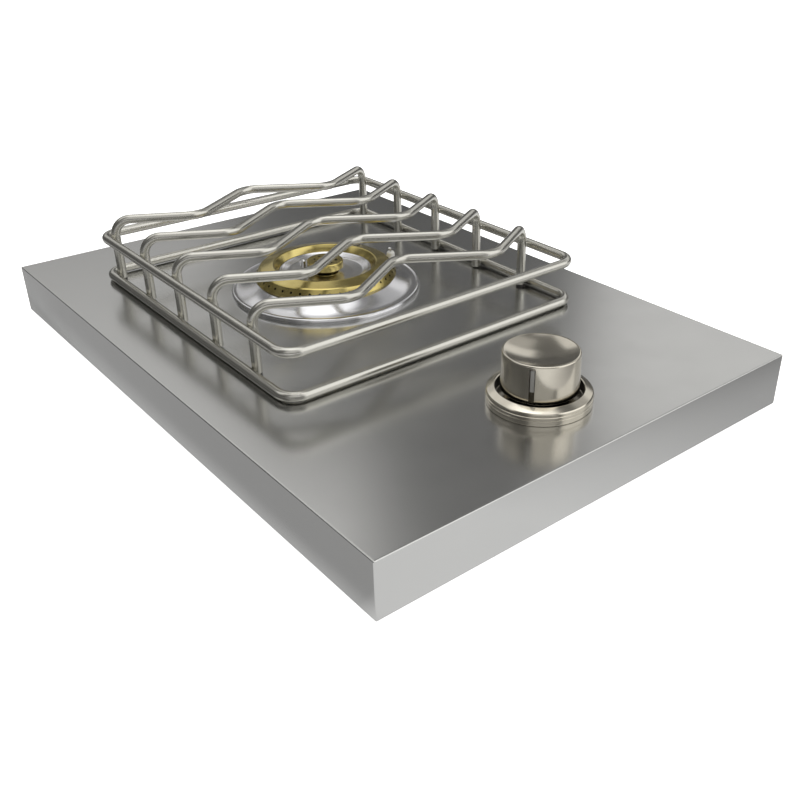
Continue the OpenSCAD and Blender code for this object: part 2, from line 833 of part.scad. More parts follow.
module valve_stem() {
    tang = 4.1;
    tang_z = 16.8;
    shoulder_z = 24.2;
    color("gray")
        translate([0, knob_y, 0])
            difference() {
                union() {
                    translate([-tang / 2, -tang / 2, tang_z])
                        cube([tang, tang, shoulder_z - tang_z + 0.5]);
                    translate([0, 0, shoulder_z]) cylinder(h = 1.2, r = 5.4);
                    translate([0, 0, shoulder_z + 0.2])
                        cylinder(h = stem_top - shoulder_z - 0.2, r = stem_r);
                }
                translate([stem_flat, -5, stem_flat_z]) cube([5, 10, 20]);
            }
}

module stem_spring() {
    color("silver")
        translate([0, knob_y, plug_z + plug_h]) coil(4.3, 0.3, 3, 5);
}

module valve_bonnet() {
    dome_r = 7.6;
    color("silver")
        translate([0, knob_y, 0])
            difference() {
                union() {
                    translate([-valve_half, -valve_half_y, valve_top])
                        cube([2 * valve_half, 2 * valve_half_y, bonnet_t]);
                    translate([0, 0, valve_top]) cylinder(h = bonnet_top - valve_top, r = dome_r);
                }
                translate([0, 0, valve_top - cut])
                    cylinder(h = bonnet_top - valve_top - bonnet_t + cut, r = dome_r - 1.4);
                translate([0, 0, valve_top]) cylinder(h = 10, r = stem_r + fit);
                for (sx = [-1, 1])
                    for (sy = [-1, 1])
                        translate([sx * bonnet_screw[0], sy * bonnet_screw[1], valve_top - cut])
                            cylinder(h = 4, r = 1.6);
            }
}

module bonnet_screws() {
    color("dimgray")
        for (sx = [-1, 1])
            for (sy = [-1, 1])
                translate([sx * bonnet_screw[0], knob_y + sy * bonnet_screw[1], valve_top + bonnet_t])
                    rotate([180, 0, 0]) screw_up(1.3, 5.5, 2.6, 1.6);
}

module valve_bracket() {
    tab = 14;
    face_y = knob_y - valve_half_y;
    color("silver")
        difference() {
            union() {
                translate([-valve_half, face_y - bracket_t, valve_bottom + 1])
                    cube([2 * valve_half, bracket_t, under_z - valve_bottom - 1]);
                translate([-valve_half, face_y - tab, under_z - bracket_t])
                    cube([2 * valve_half, tab, bracket_t]);
            }
            for (sx = [-1, 1])
                y_cylinder(sx * bracket_screw_x, bracket_screw_z, face_y - 4, face_y + 2, 1.8);
        }
}

module valve_screws() {
    color("dimgray")
        for (sx = [-1, 1])
            translate([sx * bracket_screw_x, knob_y - valve_half_y - bracket_t, bracket_screw_z])
                rotate([-90, 0, 0]) screw_up(1.55, 4.8, 3, 1.8);
}

// ---------- ignition switch ----------

module switch_collar() {
    color("white")
        translate([0, knob_y, collar_z])
            difference() {
                cylinder(h = 2.2, r = collar_r);
                translate([0, 0, -cut]) cylinder(h = 5, r = stem_r + slip);
            }
}

module micro_switch() {
    ear = 1.4;
    color("black")
        translate([0, knob_y, 0])
            difference() {
                union() {
                    translate([switch_left_x, -5, 16.6]) cube([switch_right_x - switch_left_x, 10, 9.4]);
                    for (y = [-5, 5 - ear])
                        translate([lever_pin[0] - 2, y, 25]) cube([4, ear, lever_pin[1] - 25 + 1.5]);
                }
                y_cylinder(lever_pin[0], lever_pin[1], -6, 6, lever_pin_r + slip);
                translate([plunger_x, 0, 22]) cylinder(h = 6, r = plunger_r);
            }
}

module switch_plunger() {
    color("red") translate([plunger_x, knob_y, 24]) cylinder(h = 5.05, r = plunger_r - fit);
}

module switch_lever() {
    blade_z = 29.2;
    blade_t = 0.6;
    tip_x = 8.6;
    color("silver")
        translate([0, knob_y, 0])
            difference() {
                union() {
                    translate([tip_x, -2.5, blade_z]) cube([lever_pin[0] - tip_x + 1, 5, blade_t]);
                    y_cylinder(lever_pin[0], lever_pin[1], -3.3, 3.3, 1.6);
                }
                y_cylinder(lever_pin[0], lever_pin[1], -4, 4, lever_pin_r + 0.06);
            }
}

module switch_pin() {
    color("gray") y_cylinder(lever_pin[0], lever_pin[1], knob_y - 5.6, knob_y + 5.6, lever_pin_r);
}

module switch_bracket() {
    t = 1.2;
    foot_z = 17;
    color("silver")
        difference() {
            union() {
                translate([switch_right_x, knob_y - 9, foot_z]) cube([t, 18, under_z - foot_z]);
                translate([switch_right_x, knob_y - 9, under_z - t]) cube([14, 18, t]);
            }
            translate([switch_right_x - cut, knob_y - 3.5, 19]) cube([t + 2 * cut, 7, 4]);
        }
}

// ---------- gas pipes ----------

outer_path = [
    [0, knob_y + boss_end - socket_depth, valve_port_z], [0, knob_y + 50, valve_port_z],
    [outer_feed_x, knob_y + 90, feed_z], [outer_feed_x, feed_y + socket_depth, feed_z]
];
inner_path = [
    [boss_end - socket_depth, knob_y, valve_port_z], [50, knob_y, valve_port_z],
    [50, knob_y + 60, valve_port_z], [0, knob_y + 125, feed_z],
    [0, feed_y + socket_depth, feed_z]
];
inlet_path = [
    [inlet_x, rear_y - 30, inlet_z], [inlet_x, knob_y + 90, inlet_z],
    [inlet_x, knob_y + 40, valve_port_z], [inlet_x, knob_y, valve_port_z],
    [socket_depth - boss_end, knob_y, valve_port_z]
];

module outer_gas_tube() {
    color("silver") bent_tube(outer_path, tube_r, 0.8, 16);
}

module inner_gas_tube() {
    color("silver") bent_tube(inner_path, tube_r, 0.8, 16);
}

module inlet_tube() {
    color("silver") bent_tube(inlet_path, inlet_tube_r, 0.9, 20);
}

module tube_nuts() {
    color("gold") {
        y_nut(0, valve_port_z, knob_y + boss_end, knob_y + boss_end + 6, 10, tube_r + slip);
        for (x = [0, outer_feed_x])
            y_nut(x, feed_z, feed_y - 6, feed_y, 10, tube_r + slip);
        x_nut(knob_y, valve_port_z, boss_end, boss_end + 6, 10, tube_r + slip);
        x_nut(knob_y, valve_port_z, -boss_end - 7, -boss_end, 11, inlet_tube_r + slip);
        y_nut(inlet_x, inlet_z, rear_y - 42, rear_y - 34, 13, inlet_tube_r + slip);
    }
}

module inlet_fitting() {
    flange_y = rear_y - sheet;
    tail_y = rear_y - 34;
    tip_y = rear_y + inlet_reach;
    chamfer = 0.8;
    color("gold")
        difference() {
            union() {
                y_cylinder(inlet_x, inlet_z, tail_y, flange_y, inlet_r);
                y_cylinder(inlet_x, inlet_z, flange_y - 4, flange_y, 11);
                y_cylinder(inlet_x, inlet_z, flange_y - 1, tip_y - inlet_free, bulkhead_r);
                y_cylinder(inlet_x, inlet_z, flange_y, tip_y - chamfer, inlet_r);
                translate([inlet_x, tip_y, inlet_z])
                    rotate([90, 0, 0]) cylinder(h = chamfer, r1 = inlet_r - chamfer, r2 = inlet_r);
            }
            y_cylinder(inlet_x, inlet_z, tail_y - cut, tail_y + socket_depth, inlet_tube_r + slip);
            y_cylinder(inlet_x, inlet_z, tail_y, tip_y + cut, 3);
        }
}

module inlet_locknut() {
    color("gold") y_nut(inlet_x, inlet_z, rear_y, rear_y + 5, 22, bulkhead_r + slip);
}

// ---------- spark module ----------

module spark_module() {
    color("dimgray")
        difference() {
            union() {
                y_cylinder(battery_x, battery_z, spark_tube_end_y, spark_back_y, 11);
                y_cylinder(battery_x, battery_z, spark_back_y - cut, rear_y + 3, battery_neck_r);
                translate([battery_x - 20, spark_front_y, battery_z - 11])
                    cube([40, spark_tube_end_y - spark_front_y + 2, 22]);
            }
            y_cylinder(
                battery_x, battery_z, spark_tube_end_y + spark_wall, rear_y + 3 + cut, battery_r + 0.4
            );
        }
}

module battery() {
    nub = 1.4;
    color("firebrick") {
        y_cylinder(battery_x, battery_z, battery_front_y + nub, battery_back_y, battery_r);
        y_cylinder(battery_x, battery_z, battery_front_y, battery_front_y + nub + 0.2, 2.7);
    }
}

module battery_spring() {
    gap = battery_front_y - spark_tube_end_y - spark_wall;
    color("silver")
        translate([battery_x, battery_front_y, battery_z]) rotate([90, 0, 0]) coil(3.8, 0.35, 4, gap);
}

module battery_cap() {
    rim_y = rear_y + 0.3;
    face_y = rear_y + 6;
    color("black")
        difference() {
            union() {
                y_cylinder(battery_x, battery_z, rim_y, face_y, 12.5);
                translate([battery_x - 10, face_y - 0.5, battery_z - 1.4]) cube([20, 2.5, 2.8]);
            }
            y_cylinder(battery_x, battery_z, rim_y - cut, rear_y + 3.3, battery_neck_r + 0.1);
        }
}

// The high-voltage lead from the spark module to the electrode, with a boot on its end
module ignition_lead() {
    lead_x = battery_x - 8;
    lead_z = 14;
    boot_z = lead_z + 0.5;
    color("black")
        difference() {
            union() {
                bent_rod([
                    [lead_x, spark_front_y, lead_z], [lead_x, spark_front_y - 24, lead_z],
                    [electrode_x, electrode_y + 26, lead_z], [electrode_x, electrode_y, lead_z]
                ], 1.7, 10);
                translate([electrode_x, electrode_y, boot_z])
                    cylinder(h = electrode_foot_z - 0.3 - boot_z, r = 2.6);
            }
            translate([electrode_x, electrode_y, electrode_foot_z - 4.3]) cylinder(h = 12, r = 0.85);
        }
}

// Two thin leads from the switch to the spark module
module switch_leads() {
    lead_z = 21;
    color("gray")
        for (k = [0, 1]) {
            x = battery_x + 12 - 4 * k;
            y = knob_y - 2 + 4 * k;
            bent_rod(
                [[switch_right_x + 0.2, y, lead_z], [x, y, lead_z], [x, spark_front_y, lead_z]],
                0.9, 8
            );
        }
}

deck_pan();
cover_rails();
bottom_cover();
cover_screws();
clinch_nuts();
rubber_feet();
lower_loop();
upper_loop();
grate_bar(1);  // grate_bar_1
grate_bar(2);  // grate_bar_2
grate_bar(3);  // grate_bar_3
grate_bar(4);  // grate_bar_4
grate_bar(5);  // grate_bar_5
grate_feet();
drip_dish();
burner_base();
base_screws();
outer_ring();
inner_cup();
inner_burner();
inner_cap();
outer_jet();
inner_jet();
electrode_ceramic();
electrode_wire();
sensor_probe();
knob_shell();
knob_hub();
knob_pointer();
bezel_ring();
bezel_gasket();
bezel_screws();
valve_body();
valve_plug();
valve_stem();
stem_spring();
valve_bonnet();
bonnet_screws();
valve_bracket();
valve_screws();
switch_collar();
micro_switch();
switch_plunger();
switch_lever();
switch_pin();
switch_bracket();
outer_gas_tube();
inner_gas_tube();
inlet_tube();
tube_nuts();
inlet_fitting();
inlet_locknut();
spark_module();
battery();
battery_spring();
battery_cap();
ignition_lead();
switch_leads();
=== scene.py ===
import json
import math

import bmesh
import bpy
from mathutils import Matrix, Vector


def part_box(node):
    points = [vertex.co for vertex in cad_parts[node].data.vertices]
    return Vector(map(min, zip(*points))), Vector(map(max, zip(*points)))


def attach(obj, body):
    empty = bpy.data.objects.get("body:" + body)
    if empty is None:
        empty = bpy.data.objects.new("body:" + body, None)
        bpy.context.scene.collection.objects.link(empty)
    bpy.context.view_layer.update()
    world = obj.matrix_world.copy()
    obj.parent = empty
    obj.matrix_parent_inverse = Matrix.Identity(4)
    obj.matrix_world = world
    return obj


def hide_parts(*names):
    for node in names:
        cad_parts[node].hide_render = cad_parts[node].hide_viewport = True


# A single gas hob burner on a pale studio floor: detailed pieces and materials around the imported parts.
# Metres, with +Z up and +Y to the back. Piece dimensions below are in millimetres and go through MM.

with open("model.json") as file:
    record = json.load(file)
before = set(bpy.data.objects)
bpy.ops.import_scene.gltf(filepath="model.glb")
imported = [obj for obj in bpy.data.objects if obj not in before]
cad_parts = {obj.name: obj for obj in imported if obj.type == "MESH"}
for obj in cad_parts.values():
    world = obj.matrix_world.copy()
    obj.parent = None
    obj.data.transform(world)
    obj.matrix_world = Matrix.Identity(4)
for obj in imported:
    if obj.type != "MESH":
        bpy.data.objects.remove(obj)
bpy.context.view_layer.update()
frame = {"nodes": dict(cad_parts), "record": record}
nodes = frame["nodes"]

MM = 0.001
# Radius of the grate's rods
rod_r = 3.175 * MM


def centre(node):
    """The middle of a node's box."""
    low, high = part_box(node)
    return (low + high) / 2


deck_low, deck_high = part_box("deck_pan")
deck_z = deck_high.z
burner_axis = centre("outer_ring")
knob_axis = centre("knob_shell")


# ---------- mesh helpers ----------

def new_mesh(name, verts, faces):
    """A checked mesh whose normals face outwards."""
    mesh = bpy.data.meshes.new(name)
    mesh.from_pydata([tuple(v) for v in verts], [], faces)
    mesh.validate()
    work = bmesh.new()
    work.from_mesh(mesh)
    bmesh.ops.recalc_face_normals(work, faces=work.faces)
    work.to_mesh(mesh)
    work.free()
    return mesh


def new_object(name, verts, faces, sharp_deg=30):
    """A smooth-shaded mesh object, linked to the scene."""
    mesh = new_mesh(name, verts, faces)
    obj = bpy.data.objects.new(name, mesh)
    bpy.context.scene.collection.objects.link(obj)
    shade(obj, sharp_deg)
    return obj


def shade(obj, sharp_deg=30):
    """Smooth shading, with edges steeper than sharp_deg kept crisp."""
    obj.data.polygons.foreach_set("use_smooth", [True] * len(obj.data.polygons))
    obj.data.set_sharp_from_angle(angle=math.radians(sharp_deg))


def band(first, second, sides):
    """The faces between two rings of points that start at the given indices."""
    faces = []
    for k in range(sides):
        n = (k + 1) % sides
        faces.append((first + k, first + n, second + n, second + k))
    return faces


def carve(obj, cutters, sharp_deg=30):
    """Cuts the cutters out of obj for good, and removes them."""
    for cutter in cutters:
        cut = obj.modifiers.new("cut", "BOOLEAN")
        cut.operation = "DIFFERENCE"
        cut.solver = "EXACT"
        cut.object = cutter
    bpy.context.view_layer.update()
    evaluated = obj.evaluated_get(bpy.context.evaluated_depsgraph_get())
    mesh = bpy.data.meshes.new_from_object(evaluated)
    obj.modifiers.clear()
    obj.data = mesh
    for cutter in cutters:
        bpy.data.objects.remove(cutter)
    shade(obj, sharp_deg)


def rounded(corners, closed=True, steps=5):
    """An outline in mm with its corners rounded: each corner is (r, z) or (r, z, fillet radius)."""
    out = []
    count = len(corners)
    for i, corner in enumerate(corners):
        p = Vector(corner[:2])
        fillet = corner[2] if len(corner) > 2 else 0
        end = not closed and i in (0, count - 1)
        if not fillet or end:
            out.append(p)
            continue
        to_a = (Vector(corners[i - 1][:2]) - p).normalized()
        to_b = (Vector(corners[(i + 1) % count][:2]) - p).normalized()
        half = to_a.angle(to_b) / 2
        middle = p + (to_a + to_b).normalized() * (fillet / math.sin(half))
        start = p + to_a * (fillet / math.tan(half)) - middle
        turn = start.angle_signed(p + to_b * (fillet / math.tan(half)) - middle)
        for k in range(steps + 1):
            out.append(middle + Matrix.Rotation(-turn * k / steps, 2) @ start)
    return out


def lathe(name, outline, axis, sides=128, sharp_deg=30, ripple=None):
    """A closed outline of (r, z) in mm turned about a vertical axis. axis gives x, y and the outline's zero
    height. ripple, if given, is a function of (r, z, angle) that returns a new r."""
    verts, faces = [], []
    count = len(outline)
    for k in range(sides):
        angle = 2 * math.pi * k / sides
        for r, z in outline:
            if ripple:
                r = ripple(r, z, angle)
            verts.append((
                axis[0] + r * MM * math.cos(angle),
                axis[1] + r * MM * math.sin(angle),
                axis[2] + z * MM,
            ))
    for k in range(sides):
        n = (k + 1) % sides
        for i in range(count):
            j = (i + 1) % count
            on_axis = outline[i][0] < 1e-6 and outline[j][0] < 1e-6
            if on_axis:
                continue
            faces.append((k * count + i, n * count + i, n * count + j, k * count + j))
    obj = new_object(name, verts, faces, sharp_deg)
    work = bmesh.new()
    work.from_mesh(obj.data)
    bmesh.ops.remove_doubles(work, verts=work.verts, dist=1e-7)
    bmesh.ops.dissolve_degenerate(work, edges=work.edges, dist=1e-8)
    bmesh.ops.recalc_face_normals(work, faces=work.faces)
    work.to_mesh(obj.data)
    work.free()
    shade(obj, sharp_deg)
    return obj


def cylinder(name, start, end, r, sides=48):
    """A plain cylinder between two points, used only as a cutter."""
    return sweep(name, [Vector(start), Vector(end)], r, sides, cap=0)


def block(name, low, high):
    """A plain block between two corners, used only as a cutter or inside other shapes."""
    verts = [(x, y, z) for x in (low[0], high[0]) for y in (low[1], high[1]) for z in (low[2], high[2])]
    faces = [(0, 1, 3, 2), (4, 6, 7, 5), (0, 4, 5, 1), (2, 3, 7, 6), (0, 2, 6, 4), (1, 5, 7, 3)]
    return new_object(name, verts, faces)


def soften(obj, width, segments):
    """Bevels every edge of a block, for good."""
    work = bmesh.new()
    work.from_mesh(obj.data)
    bmesh.ops.bevel(work, geom=work.edges, offset=width, segments=segments, affect="EDGES")
    work.to_mesh(obj.data)
    work.free()


def bend_path(corners, radii, steps=14):
    """Points in metres along a path whose corners are bent to the given radii."""
    out = []
    for i, p in enumerate(corners):
        if i == 0 or i == len(corners) - 1 or not radii[i]:
            out.append(Vector(p))
            continue
        p = Vector(p)
        to_a = (Vector(corners[i - 1]) - p).normalized()
        to_b = (Vector(corners[i + 1]) - p).normalized()
        half = to_a.angle(to_b) / 2
        reach = radii[i] / math.tan(half)
        middle = p + (to_a + to_b).normalized() * (radii[i] / math.sin(half))
        start = p + to_a * reach - middle
        normal = start.cross(p + to_b * reach - middle).normalized()
        turn = math.pi - 2 * half
        for k in range(steps + 1):
            out.append(middle + Matrix.Rotation(turn * k / steps, 3, normal) @ start)
    return out


def sweep(name, path, r, sides=28, closed=False, cap=0.25, sharp_deg=40):
    """A round rod of radius r along path. cap is the rounding at its ends, as a share of r."""
    count = len(path)
    tangents = []
    for i in range(count):
        before = path[i - 1] if closed or i > 0 else path[i]
        after = path[(i + 1) % count] if closed or i < count - 1 else path[i]
        tangents.append((after - before).normalized())
    side = tangents[0].orthogonal().normalized()
    frames = []
    for i in range(count):
        if i:
            side = tangents[i - 1].rotation_difference(tangents[i]) @ side
        side = (side - tangents[i] * side.dot(tangents[i])).normalized()
        frames.append((path[i], side.copy(), tangents[i].cross(side), r))
    if not closed and cap:
        ease = cap * r
        first, last = frames[0], frames[-1]
        start_rings, end_rings = [], []
        for k in range(4):
            a = math.pi / 2 * k / 4
            inset = ease * (1 - math.cos(a))
            thin = r - ease * (1 - math.sin(a))
            start_rings.append((path[0] + tangents[0] * inset, first[1], first[2], thin))
            end_rings.append((path[-1] - tangents[-1] * inset, last[1], last[2], thin))
        frames[0] = (path[0] + tangents[0] * ease, first[1], first[2], r)
        frames[-1] = (path[-1] - tangents[-1] * ease, last[1], last[2], r)
        frames = start_rings + frames + end_rings[::-1]
    verts, faces = [], []
    for middle, u, v, radius in frames:
        for k in range(sides):
            a = 2 * math.pi * k / sides
            verts.append(middle + (u * math.cos(a) + v * math.sin(a)) * radius)
    rings = len(frames)
    if closed:
        # the last ring joins the first with the twist that the path has picked up
        twist = tangents[-1].rotation_difference(tangents[0]) @ side
        u0, v0 = frames[0][1], frames[0][2]
        shift = round(math.atan2(twist.dot(v0), twist.dot(u0)) / (2 * math.pi) * sides)
    for i in range(rings if closed else rings - 1):
        j = (i + 1) % rings
        step = shift if closed and j == 0 else 0
        for k in range(sides):
            n = (k + 1) % sides
            a, b = i * sides + k, i * sides + n
            c, d = j * sides + (n + step) % sides, j * sides + (k + step) % sides
            faces.append((a, b, c, d))
    if not closed:
        faces.append(tuple(range(sides))[::-1])
        faces.append(tuple((rings - 1) * sides + k for k in range(sides)))
    return new_object(name, verts, faces, sharp_deg)


def join(name, objs):
    """Makes one object of several, and removes those."""
    work = bmesh.new()
    for obj in objs:
        work.from_mesh(obj.data)
    mesh = bpy.data.meshes.new(name)
    work.to_mesh(mesh)
    work.free()
    for obj in objs:
        bpy.data.objects.remove(obj)
    obj = bpy.data.objects.new(name, mesh)
    bpy.context.scene.collection.objects.link(obj)
    shade(obj)
    return obj


# ---------- materials ----------

class Nodes:
    """A short way to build a material's node tree."""

    def __init__(self, name):
        self.material = bpy.data.materials.new(name)
        self.material.use_nodes = True
        self.tree = self.material.node_tree
        self.shader = self.tree.nodes["Principled BSDF"]
        self.coords = self.add("ShaderNodeTexCoord").outputs["Object"]

    def add(self, kind, **settings):
        node = self.tree.nodes.new(kind)
        for key, value in settings.items():
            setattr(node, key, value)
        return node

    def link(self, a, b):
        self.tree.links.new(a, b)

    def set(self, **values):
        """Values for the shader's own sockets, with _ for a space."""
        for key, value in values.items():
            self.shader.inputs[key.replace("_", " ")].default_value = value

    def mapping(self, scale, source=None, location=(0, 0, 0)):
        node = self.add("ShaderNodeMapping")
        node.inputs["Scale"].default_value = scale
        node.inputs["Location"].default_value = location
        self.link(source or self.coords, node.inputs["Vector"])
        return node.outputs["Vector"]

    def noise(self, vector, scale=1.0, detail=3.0, roughness=0.55):
        node = self.add("ShaderNodeTexNoise")
        node.inputs["Scale"].default_value = scale
        node.inputs["Detail"].default_value = detail
        node.inputs["Roughness"].default_value = roughness
        self.link(vector, node.inputs["Vector"])
        return node.outputs["Fac"]

    def ramp(self, value, low, high, start=0.0, end=1.0):
        node = self.add("ShaderNodeMapRange")
        node.inputs["From Min"].default_value = start
        node.inputs["From Max"].default_value = end
        node.inputs["To Min"].default_value = low
        node.inputs["To Max"].default_value = high
        self.link(value, node.inputs["Value"])
        return node.outputs["Result"]

    def math(self, kind, a, b=None):
        node = self.add("ShaderNodeMath", operation=kind)
        for socket, value in zip(node.inputs, (a, b)):
            if isinstance(value, (int, float)):
                socket.default_value = value
            elif value is not None:
                self.link(value, socket)
        return node.outputs[0]

    def mix(self, factor, a, b):
        node = self.add("ShaderNodeMix", data_type="RGBA")
        self.link(factor, node.inputs["Factor"])
        node.inputs["A"].default_value = (*a, 1)
        node.inputs["B"].default_value = (*b, 1)
        return node.outputs["Result"]

    def bump(self, height, strength, distance):
        node = self.add("ShaderNodeBump")
        node.inputs["Strength"].default_value = strength
        node.inputs["Distance"].default_value = distance
        self.link(height, node.inputs["Height"])
        self.link(node.outputs["Normal"], self.shader.inputs["Normal"])

    def finish(self, colour, roughness):
        self.link(colour, self.shader.inputs["Base Color"])
        self.link(roughness, self.shader.inputs["Roughness"])
        return self.material


def metal(name, dark, light, rough, grain, bump=0.06, spread=0.06):
    """Satin metal with a fine grain. grain is the noise's scale along each axis, in cells a metre."""
    n = Nodes(name)
    fine = n.noise(n.mapping(grain), detail=4)
    broad = n.noise(n.mapping((9, 9, 9)), detail=3)
    smudge = n.noise(n.mapping((45, 45, 45)), detail=5, roughness=0.6)
    colour = n.mix(n.ramp(broad, 0.25, 0.75, 0.3, 0.7), dark, light)
    wear = n.math("ADD", n.ramp(fine, rough - spread, rough + spread), n.ramp(smudge, -0.02, 0.03))
    n.bump(fine, bump, 0.0002)
    n.set(Metallic=1.0)
    return n.finish(colour, wear)


def spun(name, dark, light, rough, axis, rings, anisotropic, bump):
    """Metal turned on a lathe, with fine rings about a vertical axis."""
    n = Nodes(name)
    local = n.mapping((1, 1, 1), location=(-axis[0], -axis[1], 0))
    flat = n.add("ShaderNodeVectorMath", operation="MULTIPLY")
    n.link(local, flat.inputs[0])
    flat.inputs[1].default_value = (1, 1, 0)
    length = n.add("ShaderNodeVectorMath", operation="LENGTH")
    n.link(flat.outputs["Vector"], length.inputs[0])
    split = n.add("ShaderNodeSeparateXYZ")
    n.link(local, split.inputs[0])
    pair = n.add("ShaderNodeCombineXYZ")
    n.link(length.outputs["Value"], pair.inputs["X"])
    n.link(split.outputs["Z"], pair.inputs["Y"])
    fine = n.noise(n.mapping((rings, rings, rings), source=pair.outputs[0]), detail=3)
    smudge = n.noise(n.mapping((60, 60, 60)), detail=4)
    colour = n.mix(n.ramp(smudge, 0.0, 1.0, 0.3, 0.7), dark, light)
    tangent = n.add("ShaderNodeTangent", direction_type="RADIAL", axis="Z")
    n.link(tangent.outputs["Tangent"], n.shader.inputs["Tangent"])
    n.bump(fine, bump, 0.0001)
    n.set(Metallic=1.0, Anisotropic=anisotropic)
    wear = n.math("ADD", n.ramp(fine, rough - 0.05, rough + 0.05), n.ramp(smudge, -0.02, 0.03))
    return n.finish(colour, wear)


def polished(name, tint, rough):
    """Mirror-polished sheet with faint wipe marks."""
    n = Nodes(name)
    smear = n.noise(n.mapping((30, 90, 30)), detail=4)
    broad = n.noise(n.mapping((14, 14, 14)), detail=2)
    colour = n.mix(broad, tuple(c * 0.96 for c in tint), tint)
    n.bump(n.noise(n.mapping((120, 120, 120)), detail=2), 0.012, 0.0001)
    n.set(Metallic=1.0)
    return n.finish(colour, n.ramp(smear, rough * 0.85, rough * 1.15, 0.3, 0.7))


def plastic(name, dark, light, rough, cell=2500, bump=0.15, coat=0.0):
    """Moulded plastic or rubber with a fine texture."""
    n = Nodes(name)
    fine = n.noise(n.mapping((cell, cell, cell)), detail=2)
    broad = n.noise(n.mapping((40, 40, 40)), detail=4)
    colour = n.mix(broad, dark, light)
    n.bump(fine, bump, 0.0001)
    n.set(Metallic=0.0, Coat_Weight=coat)
    return n.finish(colour, n.ramp(broad, rough - 0.07, rough + 0.07, 0.3, 0.7))


def cast(name, dark, light, rough):
    """As-cast metal with a pebbled skin."""
    n = Nodes(name)
    pebble = n.noise(n.mapping((900, 900, 900)), detail=4)
    broad = n.noise(n.mapping((30, 30, 30)), detail=4)
    n.bump(pebble, 0.35, 0.0003)
    n.set(Metallic=1.0)
    return n.finish(n.mix(broad, dark, light), n.ramp(pebble, rough - 0.08, rough + 0.1))


# The record's material slots, and two looks of painted shade: for the insides of holes and slots, and for the
# ceramic's lower part
looks = {}
for look, make, *values in (
    ("deck_steel", metal, (0.55, 0.55, 0.54), (0.59, 0.59, 0.58), 0.21, (40, 2200, 900), 0.012, 0.02),
    ("polished_steel", polished, (0.70, 0.70, 0.72), 0.20),
    ("rod_steel", metal, (0.50, 0.49, 0.45), (0.60, 0.59, 0.545), 0.25, (350, 350, 350), 0.012, 0.03),
    ("burner_brass", spun, (0.46, 0.37, 0.13), (0.60, 0.50, 0.20), 0.17, burner_axis, 900, 0.2, 0.012),
    ("fitting_brass", metal, (0.60, 0.46, 0.22), (0.72, 0.57, 0.30), 0.28, (1200, 1200, 1200)),
    ("cast_aluminium", cast, (0.48, 0.48, 0.47), (0.60, 0.60, 0.59), 0.48),
    ("tube_aluminium", metal, (0.68, 0.68, 0.69), (0.76, 0.76, 0.77), 0.32, (300, 300, 300)),
    ("knob_steel", spun, (0.58, 0.545, 0.465), (0.66, 0.62, 0.535), 0.15, knob_axis, 1100, 0.35, 0.012),
    ("pointer_metal", metal, (0.60, 0.59, 0.56), (0.70, 0.69, 0.66), 0.30, (900, 900, 900)),
    ("zinc_steel", metal, (0.52, 0.53, 0.54), (0.64, 0.65, 0.67), 0.38, (90, 90, 90), 0.06, 0.1),
    ("bright_steel", metal, (0.56, 0.56, 0.56), (0.66, 0.66, 0.66), 0.25, (1500, 1500, 1500)),
    ("black_plastic", plastic, (0.020, 0.020, 0.021), (0.034, 0.034, 0.036), 0.5),
    ("white_plastic", plastic, (0.72, 0.71, 0.68), (0.80, 0.79, 0.76), 0.45),
    ("glazed_ceramic", plastic, (0.84, 0.83, 0.79), (0.90, 0.89, 0.85), 0.18, 400, 0.04, 0.6),
    ("black_rubber", plastic, (0.018, 0.018, 0.018), (0.032, 0.031, 0.030), 0.68, 1800, 0.25),
    ("dark_silicone", plastic, (0.035, 0.033, 0.031), (0.05, 0.048, 0.045), 0.55, 1800, 0.2),
    ("lead_insulation", plastic, (0.26, 0.26, 0.27), (0.34, 0.34, 0.35), 0.5),
    # painted shade: near black, for the walls of ports and of the bezel's bore
    ("dark_recess", cast, (0.012, 0.011, 0.010), (0.05, 0.045, 0.035), 0.6),
    # painted shade: dark brown, for the knob's pointer slot and the ceramic's lower part
    ("aged_recess", cast, (0.10, 0.09, 0.07), (0.16, 0.145, 0.11), 0.5),
    ("battery_wrap", plastic, (0.24, 0.05, 0.04), (0.34, 0.08, 0.06), 0.35, 800, 0.05, 0.3),
):
    looks[look] = make(look, *values)


def place(obj, body, slot, *stands_for):
    """Gives a new piece its material and body, and the nodes that it stands for."""
    obj.data.materials.clear()
    obj.data.materials.append(looks[slot])
    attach(obj, body)
    if stands_for:
        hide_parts(*stands_for)
    return obj


def paint_shade(obj, look, inside):
    """Paints shade with a darker look on the faces of a hole or slot, or of a part in shade: those whose
    middle and normal pass the test.
    """
    obj.data.materials.append(looks[look])
    for face in obj.data.polygons:
        if inside(face.center, face.normal):
            face.material_index = 1


# ---------- deck ----------

sheet = 1.2 * MM
# Rounding of the deck's top edges and of its vertical corners
deck_edge = 0.8 * MM
deck_corner = 0.8 * MM
# Radii of the holes in the deck's sheet
burner_hole_r = 38 * MM
knob_hole_r = 4.5 * MM
electrode_hole_r = 3.3 * MM
inlet_hole_r = 9.3 * MM
cap_hole_r = 9.8 * MM
# How far a cutter runs past the sheet on each side
cut_reach = 6 * MM


def rounded_rectangle(half_x, half_y, corner, z, mid_y, steps=6):
    """A ring of points round a rectangle with round corners."""
    ring = []
    for sx, sy, start in ((1, 1, 0), (-1, 1, 90), (-1, -1, 180), (1, -1, 270)):
        for k in range(steps + 1):
            a = math.radians(start + 90 * k / steps)
            ring.append((
                sx * (half_x - corner) + corner * math.cos(a),
                mid_y + sy * (half_y - corner) + corner * math.sin(a),
                z,
            ))
    return ring


